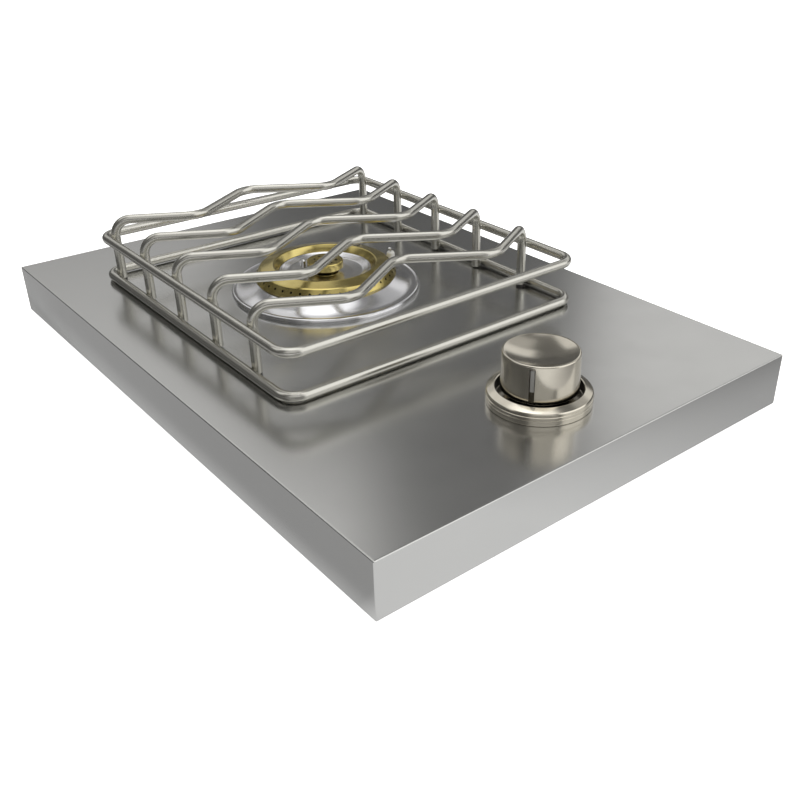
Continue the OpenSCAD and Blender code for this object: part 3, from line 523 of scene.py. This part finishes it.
def make_deck():
    """The folded sheet: round top edges, tight vertical corners, and an open underside."""
    half = (deck_high - deck_low) / 2
    mid_y = (deck_high.y + deck_low.y) / 2
    bottom = deck_low.z

    def ring(inset, z):
        corner = max(deck_corner - inset, 0.1 * MM)
        return rounded_rectangle(half.x - inset, half.y - inset, corner, z, mid_y)

    rings = [
        ring(sheet + 0.5 * MM, deck_z - sheet),
        ring(sheet, deck_z - sheet - 0.5 * MM),
        ring(sheet, bottom + 0.4 * MM),
        ring(sheet * 0.95, bottom + 0.15 * MM),
        ring(sheet * 0.75, bottom),
        ring(sheet * 0.25, bottom),
        ring(0.1 * MM, bottom + 0.15 * MM),
        ring(0, bottom + 0.4 * MM),
        ring(0, deck_z - deck_edge - 0.3 * MM),
    ]
    steps = 7
    for k in range(steps + 1):
        a = math.pi / 2 * k / steps
        rings.append(ring(deck_edge * (1 - math.cos(a)), deck_z - deck_edge * (1 - math.sin(a))))
    rings.append(ring(deck_edge + 0.5 * MM, deck_z))
    count = len(rings[0])
    last = len(rings) - 1
    faces = []
    for i in range(last):
        faces += band(i * count, (i + 1) * count, count)
    faces.append(tuple(range(count)))
    faces.append(tuple(last * count + k for k in range(count)))
    deck = new_object("deck_sheet", [p for points in rings for p in points], faces, 50)

    def down(point, r, sides=48):
        low, high = deck_z - cut_reach, deck_z + cut_reach
        return cylinder("cut", (point.x, point.y, low), (point.x, point.y, high), r, sides)

    def across(point, r):
        near, far = deck_high.y - cut_reach, deck_high.y + cut_reach
        return cylinder("cut", (point.x, near, point.z), (point.x, far, point.z), r)

    carve(deck, [
        down(burner_axis, burner_hole_r, 96),
        down(knob_axis, knob_hole_r),
        down(centre("electrode_ceramic"), electrode_hole_r),
        across(centre("inlet_fitting"), inlet_hole_r),
        across(centre("battery_cap"), cap_hole_r),
    ], 50)
    return deck


place(make_deck(), "housing", "deck_steel", "deck_pan")


# ---------- grate ----------

loop_low, loop_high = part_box("lower_loop")
rail_x = loop_high.x - rod_r
front_rail_y = loop_low.y + rod_r
back_rail_y = loop_high.y - rod_r
# Bend radii of the loops, of a bar's legs and of its zig-zag
loop_bend = 12 * MM
leg_bend = 12 * MM
bar_bend = 18 * MM
# How far the legs' centrelines stand inside the side rails', pressed a little into them
leg_inset = 6.05 * MM
# From the back rail to the first bar, and from one bar to the next
first_bar = 12.5 * MM
bar_pitch = 49 * MM
# A bar's two front bends, beside the middle and forward of its legs, and its middle's swing to the back
bar_knee_x = 56 * MM
bar_swing = 30 * MM
bar_mid_swing = 6 * MM


def make_loop(name, z):
    """One closed rod loop with four round corners."""
    steps = 16
    path = []
    for sx, sy, start in ((1, 1, 0), (-1, 1, 90), (-1, -1, 180), (1, -1, 270)):
        y = back_rail_y if sy > 0 else front_rail_y
        for k in range(steps + 1):
            a = math.radians(start + 90 * k / steps)
            path.append(Vector((
                sx * (rail_x - loop_bend) + loop_bend * math.cos(a),
                y - sy * loop_bend + loop_bend * math.sin(a),
                z,
            )))
    return sweep(name, path, rod_r, closed=True)


lower_z = centre("lower_loop").z
upper_z = centre("upper_loop").z
place(make_loop("lower_rod_loop", lower_z), "grate", "rod_steel", "lower_loop")
place(make_loop("upper_rod_loop", upper_z), "grate", "rod_steel", "upper_loop")

leg_x = rail_x - leg_inset
welds = []
for number in range(1, 6):
    node = f"grate_bar_{number}"
    low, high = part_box(node)
    y = back_rail_y - first_bar - (number - 1) * bar_pitch
    z = high.z - rod_r
    knee_y = y - bar_swing
    corners = [
        (-leg_x, y, low.z), (-leg_x, y, z), (-bar_knee_x, knee_y, z), (0, y + bar_mid_swing, z),
        (bar_knee_x, knee_y, z), (leg_x, y, z), (leg_x, y, low.z),
    ]
    radii = [0, leg_bend, bar_bend, bar_bend, bar_bend, leg_bend, 0]
    bar = sweep(f"zigzag_bar_{number}", bend_path(corners, radii), rod_r)
    place(bar, "grate", "rod_steel", node)
    for side in (-1, 1):
        welds += [(side * (rail_x + leg_x) / 2, y, loop_z) for loop_z in (lower_z, upper_z)]


def make_welds():
    """Small flat beads of weld on both sides of each place where a leg crosses a loop."""
    size = Vector((1.1, 1.0, 1.5)) * MM
    beside = 1.7 * MM
    beads = []
    for x, y, z in welds:
        for side in (-1, 1):
            work = bmesh.new()
            bmesh.ops.create_icosphere(work, subdivisions=3, radius=1)
            # waves that depend on the bead's place, so that no two beads are quite alike
            lean = 1 + 0.12 * math.sin(x * 310 + y * 170 + z * 90)
            for v in work.verts:
                wave = 1 + 0.07 * math.sin(v.co.x * 5 + v.co.z * 7 + y * 900)
                v.co = Vector((
                    x + v.co.x * size.x * wave,
                    y + side * beside + v.co.y * size.y * wave,
                    z + v.co.z * size.z * lean,
                ))
            mesh = bpy.data.meshes.new("bead")
            work.to_mesh(mesh)
            work.free()
            bead = bpy.data.objects.new("bead", mesh)
            bpy.context.scene.collection.objects.link(bead)
            beads.append(bead)
    return join("weld_beads", beads)


place(make_welds(), "grate", "rod_steel")


# ---------- burner ----------

deck_level = (burner_axis.x, burner_axis.y, deck_z)


def flare(drop, lean=0.0):
    """The dish's rise from its rim to the ring's seat, as (r, z) from the seat outwards. drop lowers it,
    and lean shifts its upper end inwards and down."""
    steps = 16
    out = []
    for k in range(steps + 1):
        t = k / steps
        r = 50.4 + 13.8 * t - lean * (1 - t)
        z = 2.7 - drop + 6.0 * (1 - t) ** 1.6 - 0.4 * lean * (1 - t)
        out.append(Vector((r, z)))
    return out


def make_dish():
    """A polished pressing: a rolled crest, and a flared rise to the ring's seat."""
    neck = [(38.0, 0.9), (46.5, 0.9, 0.4), (47.0, 9.3, 0.3), (49.5, 9.3, 0.8), (50.4, 8.7)]
    neck_under = [(49.5, 7.3), (49.0, 8.4, 0.5), (47.9, 8.4, 0.3), (47.4, 0.05), (38.0, 0.05)]
    outline = rounded(neck, False)[:-1]
    outline += flare(0)
    outline += rounded([
        (64.2, 2.7), (65.3, 2.75, 1.2), (66.3, 3.4, 0.6), (67.3, 3.0, 0.8), (67.9, 1.6, 1.5),
        (68.0, 0.06, 0.03), (67.2, 0.06, 0.03), (66.9, 1.7, 0.4), (66.2, 2.3, 0.4), (65.2, 2.0, 0.5),
        (64.2, 1.85),
    ], False)[1:-1]
    outline += flare(0.85, 0.9)[::-1]
    outline += rounded(neck_under, False)[1:]
    dish = lathe("polished_dish", outline, deck_level, 240, 40)
    wire = centre("electrode_ceramic")
    low, high = deck_z - 2 * MM, deck_z + 12 * MM
    carve(dish, [cylinder("cut", (wire.x, wire.y, low), (wire.x, wire.y, high), 3.4 * MM)], 40)
    return dish


place(make_dish(), "housing", "polished_steel", "drip_dish")


# The ring's ports, in mm: their radius, and the (r, z) at the two ends of a port's axis
ring_ports = 45
ring_port_r = 0.85
ring_port_start = (45.7, 11.4)
ring_port_end = (50.9, 14.8)
# The centre burner's ports: their radius, and their distance from the axis
centre_ports = 8
centre_port_r = 1.05
centre_port_reach = 7.8
# Heights of the centre burner's floor inside and of its top face
centre_floor = 17.2
centre_top = 20.4


def round_axis(flat, angle):
    """The point (r, z), in mm, turned by an angle about the burner's axis."""
    return Vector((flat[0] * math.cos(angle), flat[0] * math.sin(angle), flat[1]))


def nearest_port(local, count):
    """The angle of the port that is closest to a point, out of count ports."""
    step = 2 * math.pi / count
    return round(math.atan2(local.y, local.x) / step) * step


def make_ring():
    """The brass ring: flame ports in a conical wall, and a ridge from which it falls to the cup."""
    corners = [
        (47.4, 9.3), (50.3, 9.3, 0.3), (50.9, 9.9, 0.3), (50.9, 10.7, 0.4), (47.2, 16.4, 0.9),
        (46.0, 16.9, 1.2), (38.2, 18.5, 0.8), (37.2, 18.62, 0.5), (36.3, 18.4, 0.5), (33.2, 14.2, 0.1),
        (33.2, 13.2), (31.4, 13.2), (31.4, 11.6), (34.4, 11.6), (35.4, 13.4), (37.8, 16.8), (45.6, 15.0),
        (47.4, 11.6),
    ]
    ring = lathe("brass_ring", rounded(corners), deck_level, 270, 35)
    cutters = []
    for i in range(ring_ports):
        a = 2 * math.pi * i / ring_ports
        start = Vector(deck_level) + round_axis(ring_port_start, a) * MM
        end = Vector(deck_level) + round_axis(ring_port_end, a) * MM
        cutters.append(cylinder("port", start, end, ring_port_r * MM, 16))
    carve(ring, [join("ports", cutters)], 35)
    return ring


def in_ring_port(point, normal):
    """True on a port's wall: beside the axis of the port that is closest to the point."""
    local = (point - Vector(deck_level)) / MM
    a = nearest_port(local, ring_ports)
    start = round_axis(ring_port_start, a)
    along = (round_axis(ring_port_end, a) - start).normalized()
    offset = local - start
    off_axis = (offset - along * offset.dot(along)).length
    return abs(normal.dot(along)) < 0.5 and off_axis < ring_port_r + 0.01


brass_ring = place(make_ring(), "burner_head", "burner_brass", "outer_ring")
# painted shade: the walls of the ring's flame ports are painted near black
paint_shade(brass_ring, "dark_recess", in_ring_port)


def make_cup():
    """The thin polished cup inside the ring, with a hole for the sensor."""
    corners = [
        (9.4, 11.4), (19, 11.4, 10), (27, 12.1, 8), (31, 13.7, 3), (31.9, 14.4, 0.5), (32.9, 14.4, 0.3),
        (32.9, 13.2), (31.6, 13.2, 0.3), (30.6, 12.5, 3), (27, 11.1, 8), (19, 10.4, 6), (9.4, 10.4),
    ]
    cup = lathe("polished_cup", rounded(corners), deck_level, 200, 35)
    probe = centre("sensor_probe")
    low, high = deck_z + 8 * MM, deck_z + 14 * MM
    carve(cup, [cylinder("cut", (probe.x, probe.y, low), (probe.x, probe.y, high), 2.8 * MM)], 35)
    return cup


place(make_cup(), "burner_head", "polished_steel", "inner_cup")


def make_centre_burner():
    """The small brass head: a tube that widens to a flat top with a ring of ports."""
    corners = [
        (0, 17.4), (5.3, 17.4), (5.3, centre_top, 0.15), (12.4, centre_top), (13.0, 19.8, 0.5),
        (13.0, 15.2, 0.3), (8.4, 12.2, 1.0), (8.4, 7.0), (5.92, 7.0), (5.92, -2.0, 0.3), (4.6, -2.0),
        (4.6, 16.2), (0, 16.2),
    ]
    head = lathe("centre_burner", rounded(corners), deck_level, 120, 35)
    cutters = []
    for i in range(centre_ports):
        a = math.pi + 2 * math.pi * i / centre_ports
        start = Vector(deck_level) + round_axis((centre_port_reach, centre_floor), a) * MM
        end = Vector(deck_level) + round_axis((centre_port_reach, centre_top + 1.6), a) * MM
        cutters.append(cylinder("port", start, end, centre_port_r * MM, 20))
    carve(head, [join("ports", cutters)], 35)
    return head


def in_centre_port(point, normal):
    """True inside a port of the centre burner, below its top face."""
    local = (point - Vector(deck_level)) / MM
    off_axis = (local - round_axis((centre_port_reach, local.z), nearest_port(local, centre_ports))).length
    return off_axis < centre_port_r + 0.01 and centre_floor - 0.2 < local.z < centre_top - 0.01


centre_burner = place(make_centre_burner(), "burner_head", "burner_brass", "inner_burner")
# painted shade: the walls of the centre burner's ports are painted near black, below its top face
paint_shade(centre_burner, "dark_recess", in_centre_port)

cap_outline = [
    (0, 21.45), (1.5, 21.4), (3.0, 21.15), (4.3, 20.75), (4.9, 20.45), (5.15, 20.15), (5.2, 19.8),
    (5.2, 19.62), (0, 19.62),
]
centre_cap = lathe("centre_cap", [Vector(p) for p in cap_outline], deck_level, 96, 35)
place(centre_cap, "burner_head", "burner_brass", "inner_cap")

spark = centre("electrode_ceramic")
ceramic_low, ceramic_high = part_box("electrode_ceramic")


def make_insulator():
    """The electrode's ceramic, with a groove round its upper part and a collar below the deck."""
    top = (ceramic_high.z - deck_z) / MM
    foot = (ceramic_low.z - deck_z) / MM
    outline = rounded([
        (0.8, top), (2.3, top, 0.4), (3.0, top - 1.2, 0.5), (3.0, top - 4.5, 0.2), (2.6, top - 5.1, 0.2),
        (2.6, top - 6.1, 0.2), (3.0, top - 6.7, 0.2), (3.0, -1.2), (4.2, -1.3, 0.2), (4.2, -3.2, 0.2),
        (3.0, -3.3), (3.0, foot, 0.3), (0.8, foot),
    ])
    return lathe("spark_insulator", outline, (spark.x, spark.y, deck_z), 64, 30)


ceramic = place(make_insulator(), "housing", "glazed_ceramic", "electrode_ceramic")
# painted shade: the ceramic is painted dark brown from 3.8 mm under its top downwards, for the shade below
# its white tip
painted_shade_top = ceramic_high.z - 3.8 * MM
paint_shade(ceramic, "aged_recess", lambda point, normal: point.z < painted_shade_top)


def make_spark_wire():
    """The electrode's wire, with its tip bent towards the ring."""
    low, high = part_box("electrode_wire")
    corners = [
        (spark.x, spark.y, low.z),
        (spark.x, spark.y, high.z - 0.5 * MM),
        (spark.x - 2.2 * MM, spark.y, high.z - 1.1 * MM),
    ]
    return sweep("spark_wire", bend_path(corners, [0, 0.9 * MM, 0]), 0.72 * MM, 20)


place(make_spark_wire(), "housing", "bright_steel", "electrode_wire")


# ---------- knob ----------

knob_low, knob_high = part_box("knob_shell")
knob_level = (knob_axis.x, knob_axis.y, knob_low.z)
knob_height = (knob_high.z - knob_low.z) / MM
# Direction that the pointer faces at rest, from the right anticlockwise
pointer_angle = math.radians(213)
pointer_turn = Matrix.Rotation(pointer_angle, 4, "Z")
# Corners of the pointer's slot and of the insert in it, in mm, before they are turned to face that way
slot_low, slot_high = (21.0, -1.6, 1.2), (25.0, 1.6, knob_height - 2.2)
insert_low, insert_high = (21.02, -1.2, knob_height - 16.0), (22.15, 1.2, knob_height - 2.65)


def knob_block(name, low, high):
    """A block between two corners in mm, turned about the knob's axis to where the pointer is."""
    obj = block(name, [c * MM for c in low], [c * MM for c in high])
    obj.data.transform(Matrix.Translation(Vector(knob_level)) @ pointer_turn)
    return obj


def make_knob():
    """A hollow spun shell with a dished top, a soft crown, and a slot down one side for the pointer."""
    h = knob_height
    rim_r, dish = 21.2, 3.3
    ball = (rim_r * rim_r + dish * dish) / (2 * dish)
    steps = 32
    outline = []
    for k in range(steps + 1):
        r = rim_r * k / steps
        outline.append(Vector((r, h - dish + ball - math.sqrt(ball * ball - r * r))))
    outline += rounded([
        (rim_r, h), (22.4, h, 1.05), (22.9, 0, 0.4), (21.9, 0, 0.3), (20.4, 1.2), (20.4, h - 5.5),
        (0, h - 5.5),
    ], False, 7)[1:]
    knob = lathe("knob_shell_spun", outline, knob_level, 240, 32)
    carve(knob, [knob_block("slot", slot_low, slot_high)], 32)
    return knob


def in_pointer_slot(point, normal):
    """True on the walls and the floor of the pointer's slot."""
    local = pointer_turn.inverted() @ ((point - Vector(knob_level)) / MM)
    within = slot_low[0] - 0.1 < local.x < 22.3 and slot_low[2] - 0.1 < local.z < slot_high[2] + 0.1
    return within and abs(local.y) < slot_high[1] + 0.01


knob = place(make_knob(), "knob", "knob_steel", "knob_shell")
# painted shade: the walls and floor of the pointer's slot are painted dark brown
paint_shade(knob, "aged_recess", in_pointer_slot)


def make_pointer():
    """The light insert in the upper part of the slot, with softened edges."""
    insert = knob_block("pointer_insert", insert_low, insert_high)
    soften(insert, 0.2 * MM, 3)
    shade(insert, 40)
    return insert


place(make_pointer(), "knob", "pointer_metal", "knob_pointer")


bezel_bore_r = 25.6


def make_bezel():
    """The raised ring: two fine grooves round its side, and a cone that rises to the lip round the knob."""
    corners = [
        (13, 0.8), (30.6, 0.8), (30.6, 0.15), (30.95, 0.1, 0.05), (31.1, 0.4, 0.1), (31.1, 3.2, 0.1),
        (30.75, 3.4, 0.1), (31.1, 3.6, 0.1), (31.1, 5.2, 0.1), (30.7, 5.4, 0.1), (30.9, 5.7, 0.1),
        (30.8, 7.0, 0.2), (30.3, 7.6, 0.3), (26.1, 9.38, 0.25), (bezel_bore_r, 9.0, 0.2),
        (bezel_bore_r, 2.2, 0.4), (13, 2.2),
    ]
    return lathe("bezel_spun", rounded(corners), (knob_axis.x, knob_axis.y, deck_z), 240, 28)


def in_bezel_bore(point, normal):
    """True on the upright wall round the knob, and on the upright parts inside it."""
    return (point - knob_axis).xy.length < (bezel_bore_r + 0.02) * MM and abs(normal.z) < 0.5


bezel = place(make_bezel(), "housing", "knob_steel", "bezel_ring")
# painted shade: the upright wall of the bezel's bore round the knob is painted near black
paint_shade(bezel, "dark_recess", in_bezel_bore)


# ---------- underside and back ----------

def make_feet():
    """Four moulded feet, each with a raised ring to stand on and a hole in the middle."""
    low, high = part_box("rubber_feet")
    foot_r = 9.0
    outline = rounded([
        (3.0, 1.2, 0.3), (5.2, 1.0, 0.4), (6.0, 0, 0.4), (8.2, 0, 0.7), (foot_r, 1.4, 0.6), (foot_r, 3.5),
        (3.0, 3.5),
    ])
    feet = []
    for sx in (-1, 1):
        for y in (low.y + foot_r * MM, high.y - foot_r * MM):
            feet.append(lathe("foot", outline, (sx * (high.x - foot_r * MM), y, 0), 72, 30))
    return join("moulded_feet", feet)


place(make_feet(), "housing", "black_rubber", "rubber_feet")


def make_cover_screws():
    """Pan heads with a cross recess, on the shanks that hold the bottom cover."""
    low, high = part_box("cover_screws")
    head_r = 3.8
    in_row = 4
    pitch = (high.y - low.y - 2 * head_r * MM) / (in_row - 1)
    outline = rounded([
        (0, 0), (2.2, 0.0, 1.5), (head_r, 0.9, 0.9), (head_r, 2.2), (1.95, 2.2), (1.95, 8.0, 0.4), (0, 8.2),
    ])
    # half-lengths of the two arms of the cross along X and Y, and how far they reach into the head
    arm_sizes = ((2.2, 0.45), (0.45, 2.2))
    recess = 1.1
    screws = []
    for sx in (-1, 1):
        for i in range(in_row):
            x = sx * (high.x - head_r * MM)
            y = low.y + head_r * MM + i * pitch
            screw = lathe("screw", outline, (x, y, low.z), 48, 30)
            turn = Matrix.Rotation(0.7 * i + sx, 4, "Z")
            arms = []
            for long, wide in arm_sizes:
                arm = block("arm", (-long * MM, -wide * MM, -1 * MM), (long * MM, wide * MM, recess * MM))
                arm.data.transform(Matrix.Translation((x, y, low.z)) @ turn)
                arms.append(arm)
            carve(screw, arms)
            screws.append(screw)
    return join("cross_head_screws", screws)


place(make_cover_screws(), "housing", "zinc_steel", "cover_screws")


def turn_to_back(obj, x, y, z):
    """Turns a piece made on the vertical axis so that its axis points to the back, and moves it there."""
    obj.data.transform(Matrix.Translation((x, y, z)) @ Matrix.Rotation(-math.pi / 2, 4, "X"))


def make_inlet():
    """The gas inlet: a flanged bulkhead fitting with a real thread on its free end."""
    low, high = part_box("inlet_fitting")
    middle = centre("inlet_fitting")
    length = (high.y - low.y) / MM
    flange = (deck_high.y - low.y - sheet) / MM
    flange_t = 4
    free = length - 10
    outline = rounded([
        (4.05, 0), (8, 0, 0.3), (8, flange - flange_t), (11, flange - flange_t, 0.4), (11, flange, 0.2),
        (9, flange), (9, free, 0.4), (7.2, free + 0.6), (7.2, length - 0.3, 0.3), (3, length), (3, 8),
        (4.05, 8),
    ])
    body = lathe("inlet_body", outline, (0, 0, 0), 96, 30)

    # the thread is a sleeve round the free end, as rings of points whose radius follows the helix
    root_r, depth, inside_r = 7.15, 0.85, 6.9
    pitch = 1.5
    run_out = 0.8
    sides, rows = 72, 90
    verts, faces = [], []

    def point(r, k, s):
        a = 2 * math.pi * k / sides
        verts.append((r * MM * math.cos(a), r * MM * math.sin(a), s * MM))

    start, end = free + 0.8, length - 0.4
    for i in range(rows + 1):
        s = start + (end - start) * i / rows
        fade = min(1, (s - start) / run_out, (end - s) / run_out)
        for k in range(sides):
            phase = (s / pitch - k / sides) % 1
            point(root_r + depth * fade * min(1, 1.25 * (1 - abs(2 * phase - 1))), k, s)
    for s in (start, end):
        for k in range(sides):
            point(inside_r, k, s)
    last = rows * sides
    inner_start, inner_end = last + sides, last + 2 * sides
    for i in range(rows):
        faces += band(i * sides, (i + 1) * sides, sides)
    faces += band(0, inner_start, sides)
    faces += band(inner_end, last, sides)
    faces += band(inner_start, inner_end, sides)
    thread = new_object("inlet_thread", verts, faces, 60)
    fitting = join("threaded_inlet", [body, thread])
    turn_to_back(fitting, middle.x, low.y, middle.z)
    return fitting


place(make_inlet(), "housing", "fitting_brass", "inlet_fitting")


def make_locknut():
    """A hexagonal nut with chamfered corners."""
    low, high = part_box("inlet_locknut")
    middle = centre("inlet_locknut")
    thick = (high.y - low.y) / MM
    flat = (high.z - low.z) / MM / 2

    def hexagon(r, z, angle):
        """Keeps the radius inside the hexagon, with its corners on the X axis."""
        a = (angle + math.pi / 6) % (math.pi / 3) - math.pi / 6
        side = flat / math.cos(math.pi / 6 - abs(a))
        return min(r, side) if r > 10 else r

    outline = rounded([
        (9.05, 0), (11.2, 0), (12.7, 0.9), (12.7, thick - 0.9), (11.2, thick), (9.6, thick),
        (9.05, thick - 0.5),
    ])
    nut = lathe("locknut_hex", outline, (0, 0, 0), 144, 25, hexagon)
    turn_to_back(nut, middle.x, low.y, middle.z)
    return nut


place(make_locknut(), "housing", "fitting_brass", "inlet_locknut")


def make_battery_cap():
    """A ribbed screw cap with a finger bar across it."""
    low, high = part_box("battery_cap")
    middle = centre("battery_cap")
    thick = 5.7
    rib_count, rib_depth = 36, 0.28
    grip_half = (9.6, 1.35)
    grip_top = 7.7

    def ribbed(r, z, angle):
        """Ribs on the cap's side, away from its two edges."""
        if r < 12 or z < 0.6 or z > thick - 0.6:
            return r
        return r - rib_depth * (1 + math.cos(rib_count * angle))

    outline = rounded([
        (9.6, 0), (12.1, 0, 0.2), (12.5, 0.7), (12.5, 2.5), (12.5, thick - 0.7), (11.9, thick, 0.4),
        (10.2, thick - 0.1, 0.3), (9.8, thick - 0.7, 0.3), (0, thick - 0.7), (0, 3.0), (9.6, 3.0, 0.3),
    ])
    cap = lathe("cap_disc", outline, (0, 0, 0), 288, 30, ribbed)
    grip_low = (-grip_half[0] * MM, -grip_half[1] * MM, (thick - 0.9) * MM)
    grip_high = (grip_half[0] * MM, grip_half[1] * MM, grip_top * MM)
    grip = block("grip", grip_low, grip_high)
    soften(grip, 0.5 * MM, 4)
    shade(grip, 40)
    piece = join("ribbed_battery_cap", [cap, grip])
    turn_to_back(piece, middle.x, low.y, middle.z)
    return piece


place(make_battery_cap(), "cap", "black_plastic", "battery_cap")


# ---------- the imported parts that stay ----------

# Every CAD node gets its slot's look, including the ones that a piece stands for
slot_of = {part["node"]: part["material_slot"] for part in frame["record"]["subparts"]}
for name, obj in nodes.items():
    if obj.data.materials:
        obj.data.materials.clear()
    obj.data.materials.append(looks[slot_of[name]])
    obj.data.polygons.foreach_set("material_index", [0] * len(obj.data.polygons))
    shade(obj, 30)


# ---------- studio ----------

def paper(name, value, glow):
    """Matt white paper that glows a little. glow is a node output, or a number."""
    n = Nodes(name)
    broad = n.noise(n.mapping((3, 3, 3)), detail=3)
    tone = (value, value, value)
    n.set(Metallic=0.0, Emission_Color=(1, 1, 1, 1))
    n.shader.inputs["Specular IOR Level"].default_value = 0.0
    if isinstance(glow, (int, float)):
        n.shader.inputs["Emission Strength"].default_value = glow
    else:
        n.link(glow(n), n.shader.inputs["Emission Strength"])
    return n.finish(n.mix(broad, tone, tuple(c + 0.02 for c in tone)), n.ramp(broad, 0.85, 0.95))


def make_shell():
    """The pale floor and backdrop that the camera sees, and nothing reflects: a sheet that curves up into
    a dome."""
    floor_r, bend_r = 6.0, 2.5
    pinhole = 0.0001
    steps, sides = 24, 64
    outline = [(pinhole, 0), (floor_r, 0)]
    for k in range(1, steps):
        a = math.pi / 2 * k / steps
        outline.append((floor_r + bend_r * math.sin(a), bend_r * (1 - math.cos(a))))
    outline += [(8.5, 2.5), (8.0, 5.0), (6.0, 7.5), (3.0, 8.8), (pinhole, 9.0)]
    verts, faces = [], []
    for r, z in outline:
        for k in range(sides):
            a = 2 * math.pi * k / sides
            verts.append((r * math.cos(a), r * math.sin(a), z))
    for i in range(len(outline) - 1):
        faces += band(i * sides, (i + 1) * sides, sides)
    shell = new_object("studio_shell", verts, faces, 60)
    shell.data.materials.append(paper("studio_paper", 0.86, 0.86))
    shell.visible_diffuse = False
    shell.visible_glossy = False
    shell.visible_transmission = False
    shell.visible_shadow = False


def make_bounce():
    """The floor that the metal reflects and the camera doesn't see. Its glow is full in front of the
    object, and less beside its left side, at its front right corner, and far off except in front."""
    half = 3
    corners = [(-half, -half, 0), (half, -half, 0), (half, half, 0), (-half, half, 0)]
    floor = new_object("bounce_floor", corners, [(0, 1, 2, 3)])
    floor.location.z = -1 * MM
    full_glow = 0.80

    def glow(n):
        split = n.add("ShaderNodeSeparateXYZ")
        n.link(n.coords, split.inputs[0])
        x, y = split.outputs["X"], split.outputs["Y"]

        beside = n.math("MULTIPLY", n.ramp(x, 1, 0, -0.165, -0.15), n.ramp(y, 0, 1, -0.24, -0.22))
        left = n.ramp(beside, 1.0, 0.40)

        patch_x, patch_y, patch_w, patch_d = 0.26, -0.33, 0.34, 0.20
        local = n.mapping((1 / patch_w, 1 / patch_d, 0), location=(-patch_x / patch_w, -patch_y / patch_d, 0))
        from_patch = n.add("ShaderNodeVectorMath", operation="LENGTH")
        n.link(local, from_patch.inputs[0])
        right = n.ramp(from_patch.outputs["Value"], 0.25, 1.0, 0.3, 1.0)

        reach = n.add("ShaderNodeVectorMath", operation="LENGTH")
        n.link(n.coords, reach.inputs[0])
        far_off = n.ramp(reach.outputs["Value"], 0, 0.88, 0.42, 0.75)
        behind = n.math("MULTIPLY", far_off, n.ramp(y, 0, 1, -0.4, -0.1))
        far = n.math("SUBTRACT", 1.0, behind)
        return n.math("MULTIPLY", n.math("MULTIPLY", left, right), n.math("MULTIPLY", far, full_glow))

    floor.data.materials.append(paper("bounce_paper", 0.14, glow))
    floor.visible_camera = False


make_shell()
make_bounce()


# Light from every direction, and the soft panels round the object: each has its azimuths (from the right
# anticlockwise) and its heights above the horizon, the width of its soft edge, in degrees, and its power
base_light = 0.12
panels = (
    (-30, 39, 16, 31, 4, 0.76),
    (54, 94, 31, 66, 3, 0.70),
    (61, 94, 14, 31, 5, 0.50),
    (104, 160, 34, 66, 8, 0.85),
    (30, 88, 56, 80, 5, 0.7),
    (-24, 36, 31, 48, 6, 0.34),
    (-88, -30, -2, 66, 6, 1.25),
    (-181, 181, 64, 91, 8, 1.35),
    (-160, -100, 8, 60, 12, 0.55),
    (-181, 181, 20, 66, 4, 0.06),
)


def make_world():
    """A soft studio dome: brightness by direction, like large softboxes round the object."""
    world = bpy.data.worlds.new("studio")
    bpy.context.scene.world = world
    world.use_nodes = True
    tree = world.node_tree
    tree.nodes.clear()

    def math_node(kind, a, b=None):
        node = tree.nodes.new("ShaderNodeMath")
        node.operation = kind
        for socket, value in zip(node.inputs, (a, b)):
            if isinstance(value, (int, float)):
                socket.default_value = value
            elif value is not None:
                tree.links.new(value, socket)
        return node.outputs[0]

    def edge(value, low, high):
        """A soft step from 0 at low to 1 at high."""
        node = tree.nodes.new("ShaderNodeMapRange")
        node.interpolation_type = "SMOOTHSTEP"
        node.inputs["From Min"].default_value = low
        node.inputs["From Max"].default_value = high
        tree.links.new(value, node.inputs["Value"])
        return node.outputs["Result"]

    coords = tree.nodes.new("ShaderNodeTexCoord")
    split = tree.nodes.new("ShaderNodeSeparateXYZ")
    tree.links.new(coords.outputs["Generated"], split.inputs[0])
    x, y, z = split.outputs
    azimuth = math_node("MULTIPLY", math_node("ARCTAN2", y, x), 180 / math.pi)
    height = math_node("MULTIPLY", math_node("ARCSINE", z), 180 / math.pi)

    def panel_light(az0, az1, el0, el1, soft, power):
        across = math_node("MULTIPLY", edge(azimuth, az0, az0 + soft), edge(azimuth, az1 + soft, az1))
        up = math_node("MULTIPLY", edge(height, el0, el0 + soft), edge(height, el1 + soft, el1))
        return math_node("MULTIPLY", math_node("MULTIPLY", across, up), power)

    total = base_light
    for panel in panels:
        total = math_node("ADD", total, panel_light(*panel))
    background = tree.nodes.new("ShaderNodeBackground")
    background.inputs["Color"].default_value = (1.0, 0.995, 0.98, 1)
    tree.links.new(total, background.inputs["Strength"])
    output = tree.nodes.new("ShaderNodeOutputWorld")
    tree.links.new(background.outputs[0], output.inputs["Surface"])


make_world()


# ---------- camera ----------

def make_camera():
    """A camera in front of the object and to its left, which looks down across the deck."""
    data = bpy.data.cameras.new("camera")
    data.sensor_width = 36
    data.lens = 42.222
    data.shift_x = -0.0625
    data.clip_start, data.clip_end = 0.01, 60
    deck_middle = Vector(((deck_low.x + deck_high.x) / 2, (deck_low.y + deck_high.y) / 2, deck_z))
    from_deck = Vector((-0.342086, -0.497391, 0.264892))
    # the camera's own axes: X to the right, Y up, and Z back towards the viewer
    right = Vector((0.765677, -0.643217, 0.003313)).normalized()
    back = Vector((-0.561255, -0.665576, 0.491937)).normalized()
    above = back.cross(right).normalized()
    right = above.cross(back)
    camera = bpy.data.objects.new("camera", data)
    camera.matrix_world = Matrix.Translation(deck_middle + from_deck) @ Matrix((
        (right.x, above.x, back.x, 0),
        (right.y, above.y, back.y, 0),
        (right.z, above.z, back.z, 0),
        (0, 0, 0, 1),
    ))
    bpy.context.scene.collection.objects.link(camera)
    return camera


bpy.context.scene.camera = make_camera()
bpy.context.scene.view_settings.view_transform = "Standard"
